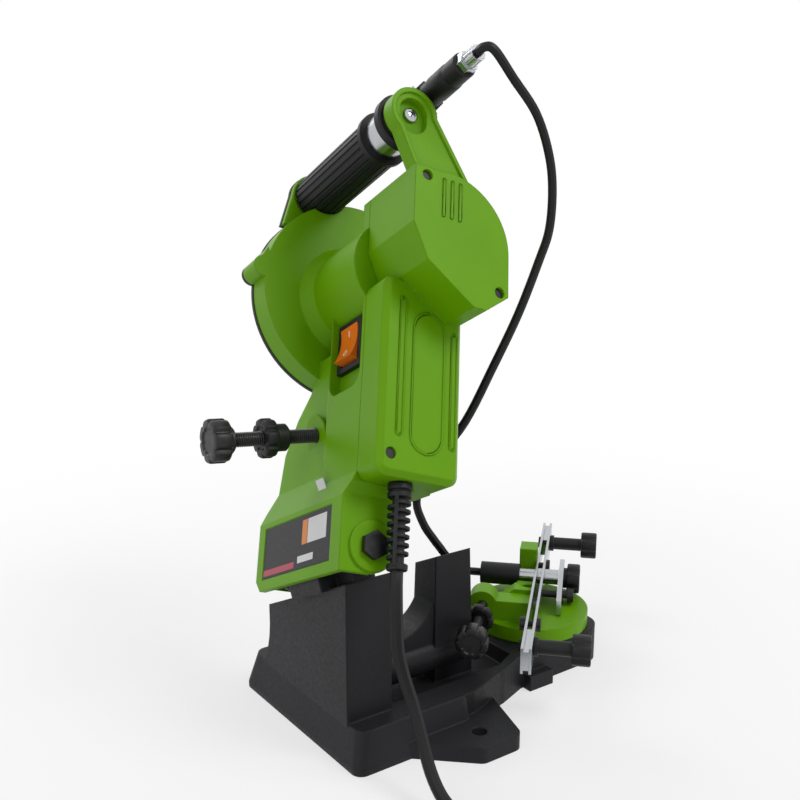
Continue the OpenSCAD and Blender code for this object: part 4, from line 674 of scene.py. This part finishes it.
def stop_screw(bm):
    rod(bm, STOP_FAR, STOP_NEAR, STOP_R)
    thread(bm, STOP_KNOB[0], STOP_NEAR - 1, STOP_R, STOP_PITCH, STOP_RIDGE, 12)
    lobed_knob(bm, *STOP_KNOB, STOP_KNOB_D)


def stop_lock(bm):
    far, near = STOP_SLEEVE
    turned_solid(bm, [(far, STOP_BORE), (far, 5.4), (near - 0.6, 6), (near, 5.4), (near, STOP_BORE),
                      (far, STOP_BORE)])
    lobed_knob(bm, *STOP_LOCK, STOP_LOCK_D)


def chain_peg(bm):
    """A peg of the chain rail: its knob, its thick stem, a collar, and the thin shank through the rail."""
    knob_at = PEG_FACE - PEG_L
    rod(bm, knob_at - 1, PEG_FACE, PEG_R, 0.3)
    turned_solid(bm, [(PEG_FACE - 2.4, 0), (PEG_FACE - 2.4, PEG_COLLAR_R), (PEG_FACE - 0.4, PEG_COLLAR_R),
                      (PEG_FACE, PEG_COLLAR_R - 0.4), (PEG_FACE, 0)])
    rod(bm, PEG_FACE - 0.5, -2, PEG_SHANK_R, 0.2)
    rod(bm, -2.2, 0, PEG_FOOT_R)
    lobed_knob(bm, knob_at, knob_at - PEG_KNOB, PEG_KNOB_D, *SMALL_STAR)


def clamp_nut(bm):
    near, far = PLATE_Y - 3, PLATE_Y - 5.5
    turned_solid(bm, [(near, CLAMP_BORE), (near, CLAMP_COLLAR_R), (far, CLAMP_COLLAR_R), (far, CLAMP_BORE),
                      (near, CLAMP_BORE)])
    lobed_knob(bm, PLATE_Y - 5, PLATE_Y - 13, CLAMP_KNOB_D, *SMALL_STAR)


def along_vise_y(x):
    """A turned piece's X runs along the vise's Y at that place along the rail."""
    return vise_place @ moved(x, 0, RAIL_MID) @ ALONG_Y


dressed("stop_screw_turned", stop_screw, stop_place, "stop_screw_body", "black_steel", dark_steel,
        "stop_screw")
dressed("stop_lock_star", stop_lock, stop_place, "stop_lock", "black_plastic", black_abs, "stop_lock_knob")
for side, x in (("far", -PEG_X), ("near", PEG_X)):
    dressed(f"chain_peg_{side}", chain_peg, along_vise_y(x), "vise", "black_plastic", black_abs, "chain_pegs")
dressed("clamp_nut_star", clamp_nut, along_vise_y(CLAMP_X), "clamp", "black_plastic", black_abs, "clamp_knob")

# Lever's perch on the handle tube
RING_NEAR, RING_FAR, RING_BORE, RING_R, RING_EDGE = -96.1, -90.4, 12.55, 15.7, 0.8
BAR_END, BAR_FOOT, BAR_R, BAR_SLEEVE_R = -130, -91.5, 7, 7.35
EAR_X, EAR_R, EAR_T, EAR_Z = -86.5, 4.9, 2.6, 6.65


def perch_ring(bm):
    """Clamp ring of the lever's perch, narrow enough to leave the plated tube bare before the grip."""
    turned_solid(bm, [(RING_NEAR, RING_BORE), (RING_NEAR, RING_R - RING_EDGE),
                      (RING_NEAR + RING_EDGE, RING_R), (RING_FAR - RING_EDGE, RING_R),
                      (RING_FAR, RING_R - RING_EDGE), (RING_FAR, RING_BORE), (RING_NEAR, RING_BORE)], 56)


def perch_bar(bm):
    """The cable's bar beside the tube, with the two ears that hold the lever."""
    rod(bm, BAR_END, BAR_FOOT, BAR_R, 0.8)
    turned_solid(bm, [(-118, 0), (-118, BAR_R), (-117.4, BAR_SLEEVE_R), (-104, BAR_SLEEVE_R), (-103.4, BAR_R),
                      (-103.4, 0)])
    block(bm, (RING_NEAR, -10.2, -7.9), (BAR_FOOT, 4.6, 7.9), 0.6)
    for side in (-EAR_Z, EAR_Z):
        block(bm, (RING_NEAR, -EAR_R, side - EAR_T / 2), (EAR_X, EAR_R, side + EAR_T / 2), 0.5)
        ear = bmesh.new()
        bmesh.ops.create_cone(ear, cap_ends=True, segments=28, radius1=EAR_R * MM, radius2=EAR_R * MM,
                              depth=EAR_T * MM)
        bmesh.ops.translate(ear, vec=(EAR_X * MM, 0, side * MM), verts=ear.verts)
        bevelled(ear, sharp_edges(ear), 0.4)
        join_into(bm, ear)


dressed("perch_ring", perch_ring, handle_place, "head", "black_plastic", black_abs, "lever_perch")
dressed("perch_bar", perch_bar, bar_place, "head", "black_plastic", black_abs, "lever_perch")

# Cross-head screws at both ends of the handle, their recesses drawn as painted shade
SOCKET_FLOOR, COVER_FACE, CROSS_TURN = -101.5, 12, 20
ARM_L, ARM_W, ARM_TOP, ARM_FOOT = 2.2, 0.4, -3.02, -2.4


def pan_screw(bm):
    """Pan head screw of the handle with its shank; the head is on the -X side."""
    turned_solid(bm, [(0, 0), (0, 3.9), (-0.8, 4.2), (-1.8, 3.9), (-2.6, 2.8), (-2.9, 1.4), (-2.95, 0)], 32)
    rod(bm, -0.2, 11, 2.4, 0.3)


def recess_shade_cross():
    """The dark arms of a cross recess, laid in the screw's head: painted shade, blackened steel standing for
    the shadowed hollow of the plated recess.
    """
    bm = bmesh.new()
    for y, z in ((ARM_L, ARM_W), (ARM_W, ARM_L)):
        block(bm, (ARM_TOP, -y, -z), (ARM_FOOT, y, z), 0.1)
    return bm


for side, at, way in (("lug", SOCKET_FLOOR, 0), ("guard", COVER_FACE, 180)):
    screw_place = handle_place @ moved(at, 0, 0) @ turned(way, "Z")
    dressed(f"handle_screw_{side}", pan_screw, screw_place, "head", "steel", bright_steel, "handle_screws")
    # Painted shade: a dark cross of blackened steel where the recess's hollow falls in shadow
    piece_of(f"handle_screw_recess_shade_{side}", recess_shade_cross(), screw_place @ turned(CROSS_TURN, "X"), "head",
             dark_steel)

# Marks printed on the rocker's hollow face: a bar for on above a ring for off
ROCKER_TILT, ROCKER_R, ROCKER_TIP, BEZEL = 9, 26, 7, 1.6
MARK_T = 0.22
for mark, height, width, tall, rim in (("on", 5.8, 0.8, 3.8, 0.0), ("off", -5.8, 3.3, 3.7, 0.5)):
    depth = ROCKER_TIP + ROCKER_R - 2 * BEZEL - math.sqrt(ROCKER_R ** 2 - height ** 2)
    slope = -math.degrees(math.asin(height / ROCKER_R))
    mark_place = (switch_place @ turned(ROCKER_TILT, "X") @ moved(0, depth, height) @ turned(slope, "X")
                  @ TURN_TO_REAR)
    bm = rounded_panel((0.1, 0, 0), width, tall, min(width, tall) / 2 - 0.05, MARK_T, rim)
    piece_of(f"rocker_mark_{mark}", bm, mark_place, "rocker", white_print)


# Stage and light
def seen_white(tree):
    """1 where a ray comes from the camera, straight or by way of gloss or glass."""
    paths = add(tree, "ShaderNodeLightPath").outputs
    seen = paths["Is Camera Ray"]
    for kind in ("Is Glossy Ray", "Is Transmission Ray"):
        seen = add(tree, "ShaderNodeMath", {0: seen, 1: paths[kind]}, operation="MAXIMUM").outputs[0]
    return seen


def pale_floor():
    """A plain pale floor that keeps the part's shadow and fades to the white behind it."""
    material, tree, at = start("pale_floor")
    far_out = add(tree, "ShaderNodeVectorMath", {0: at}, operation="LENGTH").outputs["Value"]
    fade = add(tree, "ShaderNodeMapRange", {"Value": far_out, "From Min": 0.1, "From Max": 0.6, "To Min": 0.6,
                                            "To Max": 1}, interpolation_type="SMOOTHSTEP").outputs[0]
    share = add(tree, "ShaderNodeMath", {0: fade, 1: seen_white(tree)}, operation="MULTIPLY").outputs[0]
    matt = add(tree, "ShaderNodeBsdfPrincipled", {"Base Color": linear("#F2F2F2"), "Roughness": 0.9})
    backdrop = add(tree, "ShaderNodeEmission", {"Color": linear("#FFFFFF"), "Strength": 1.0})
    ground = add(tree, "ShaderNodeMixShader", {0: share, 1: matt.outputs[0], 2: backdrop.outputs[0]})
    add(tree, "ShaderNodeOutputMaterial", {"Surface": ground.outputs[0]})
    return material


def lamp(name, at, target, size, power):
    light = bpy.data.lights.new(name, "AREA")
    light.shape = "DISK"
    light.size = size
    light.energy = power
    obj = bpy.data.objects.new(name, light)
    bpy.context.scene.collection.objects.link(obj)
    obj.location = at
    obj.rotation_euler = (Vector(target) - Vector(at)).to_track_quat("-Z", "Y").to_euler()


FLOOR_HALF, FLOOR_GAP, ROOM_LIGHT = 4, 0.2, 0.42
floor_bm = bmesh.new()
bmesh.ops.create_grid(floor_bm, x_segments=1, y_segments=1, size=FLOOR_HALF)
piece_of("floor", floor_bm, moved(0, 0, -FLOOR_GAP), None, pale_floor())

world = bpy.data.worlds.new("studio")
bpy.context.scene.world = world
world.use_nodes = True
tree = world.node_tree
tree.nodes.clear()
soft = add(tree, "ShaderNodeBackground", {"Color": linear("#FFFFFF"), "Strength": ROOM_LIGHT})
white = add(tree, "ShaderNodeBackground", {"Color": linear("#FFFFFF"), "Strength": 1.0})
mix = add(tree, "ShaderNodeMixShader", {0: seen_white(tree), 1: soft.outputs[0], 2: white.outputs[0]})
add(tree, "ShaderNodeOutputWorld", {"Surface": mix.outputs[0]})

# Where each lamp stands and aims, and its width, in metres, then its power in watts
AIM_LOW, AIM_HIGH = (0, 0, 0.15), (0, 0, 0.2)
lamp("key", (-0.9, -0.5, 1.3), AIM_LOW, 0.7, 9.5)
lamp("fill", (-0.3, 1.3, 0.9), AIM_LOW, 1.0, 3.5)
lamp("rim", (1.1, 0.2, 1.0), AIM_HIGH, 0.7, 5.5)
bpy.context.scene.view_settings.view_transform = "Standard"
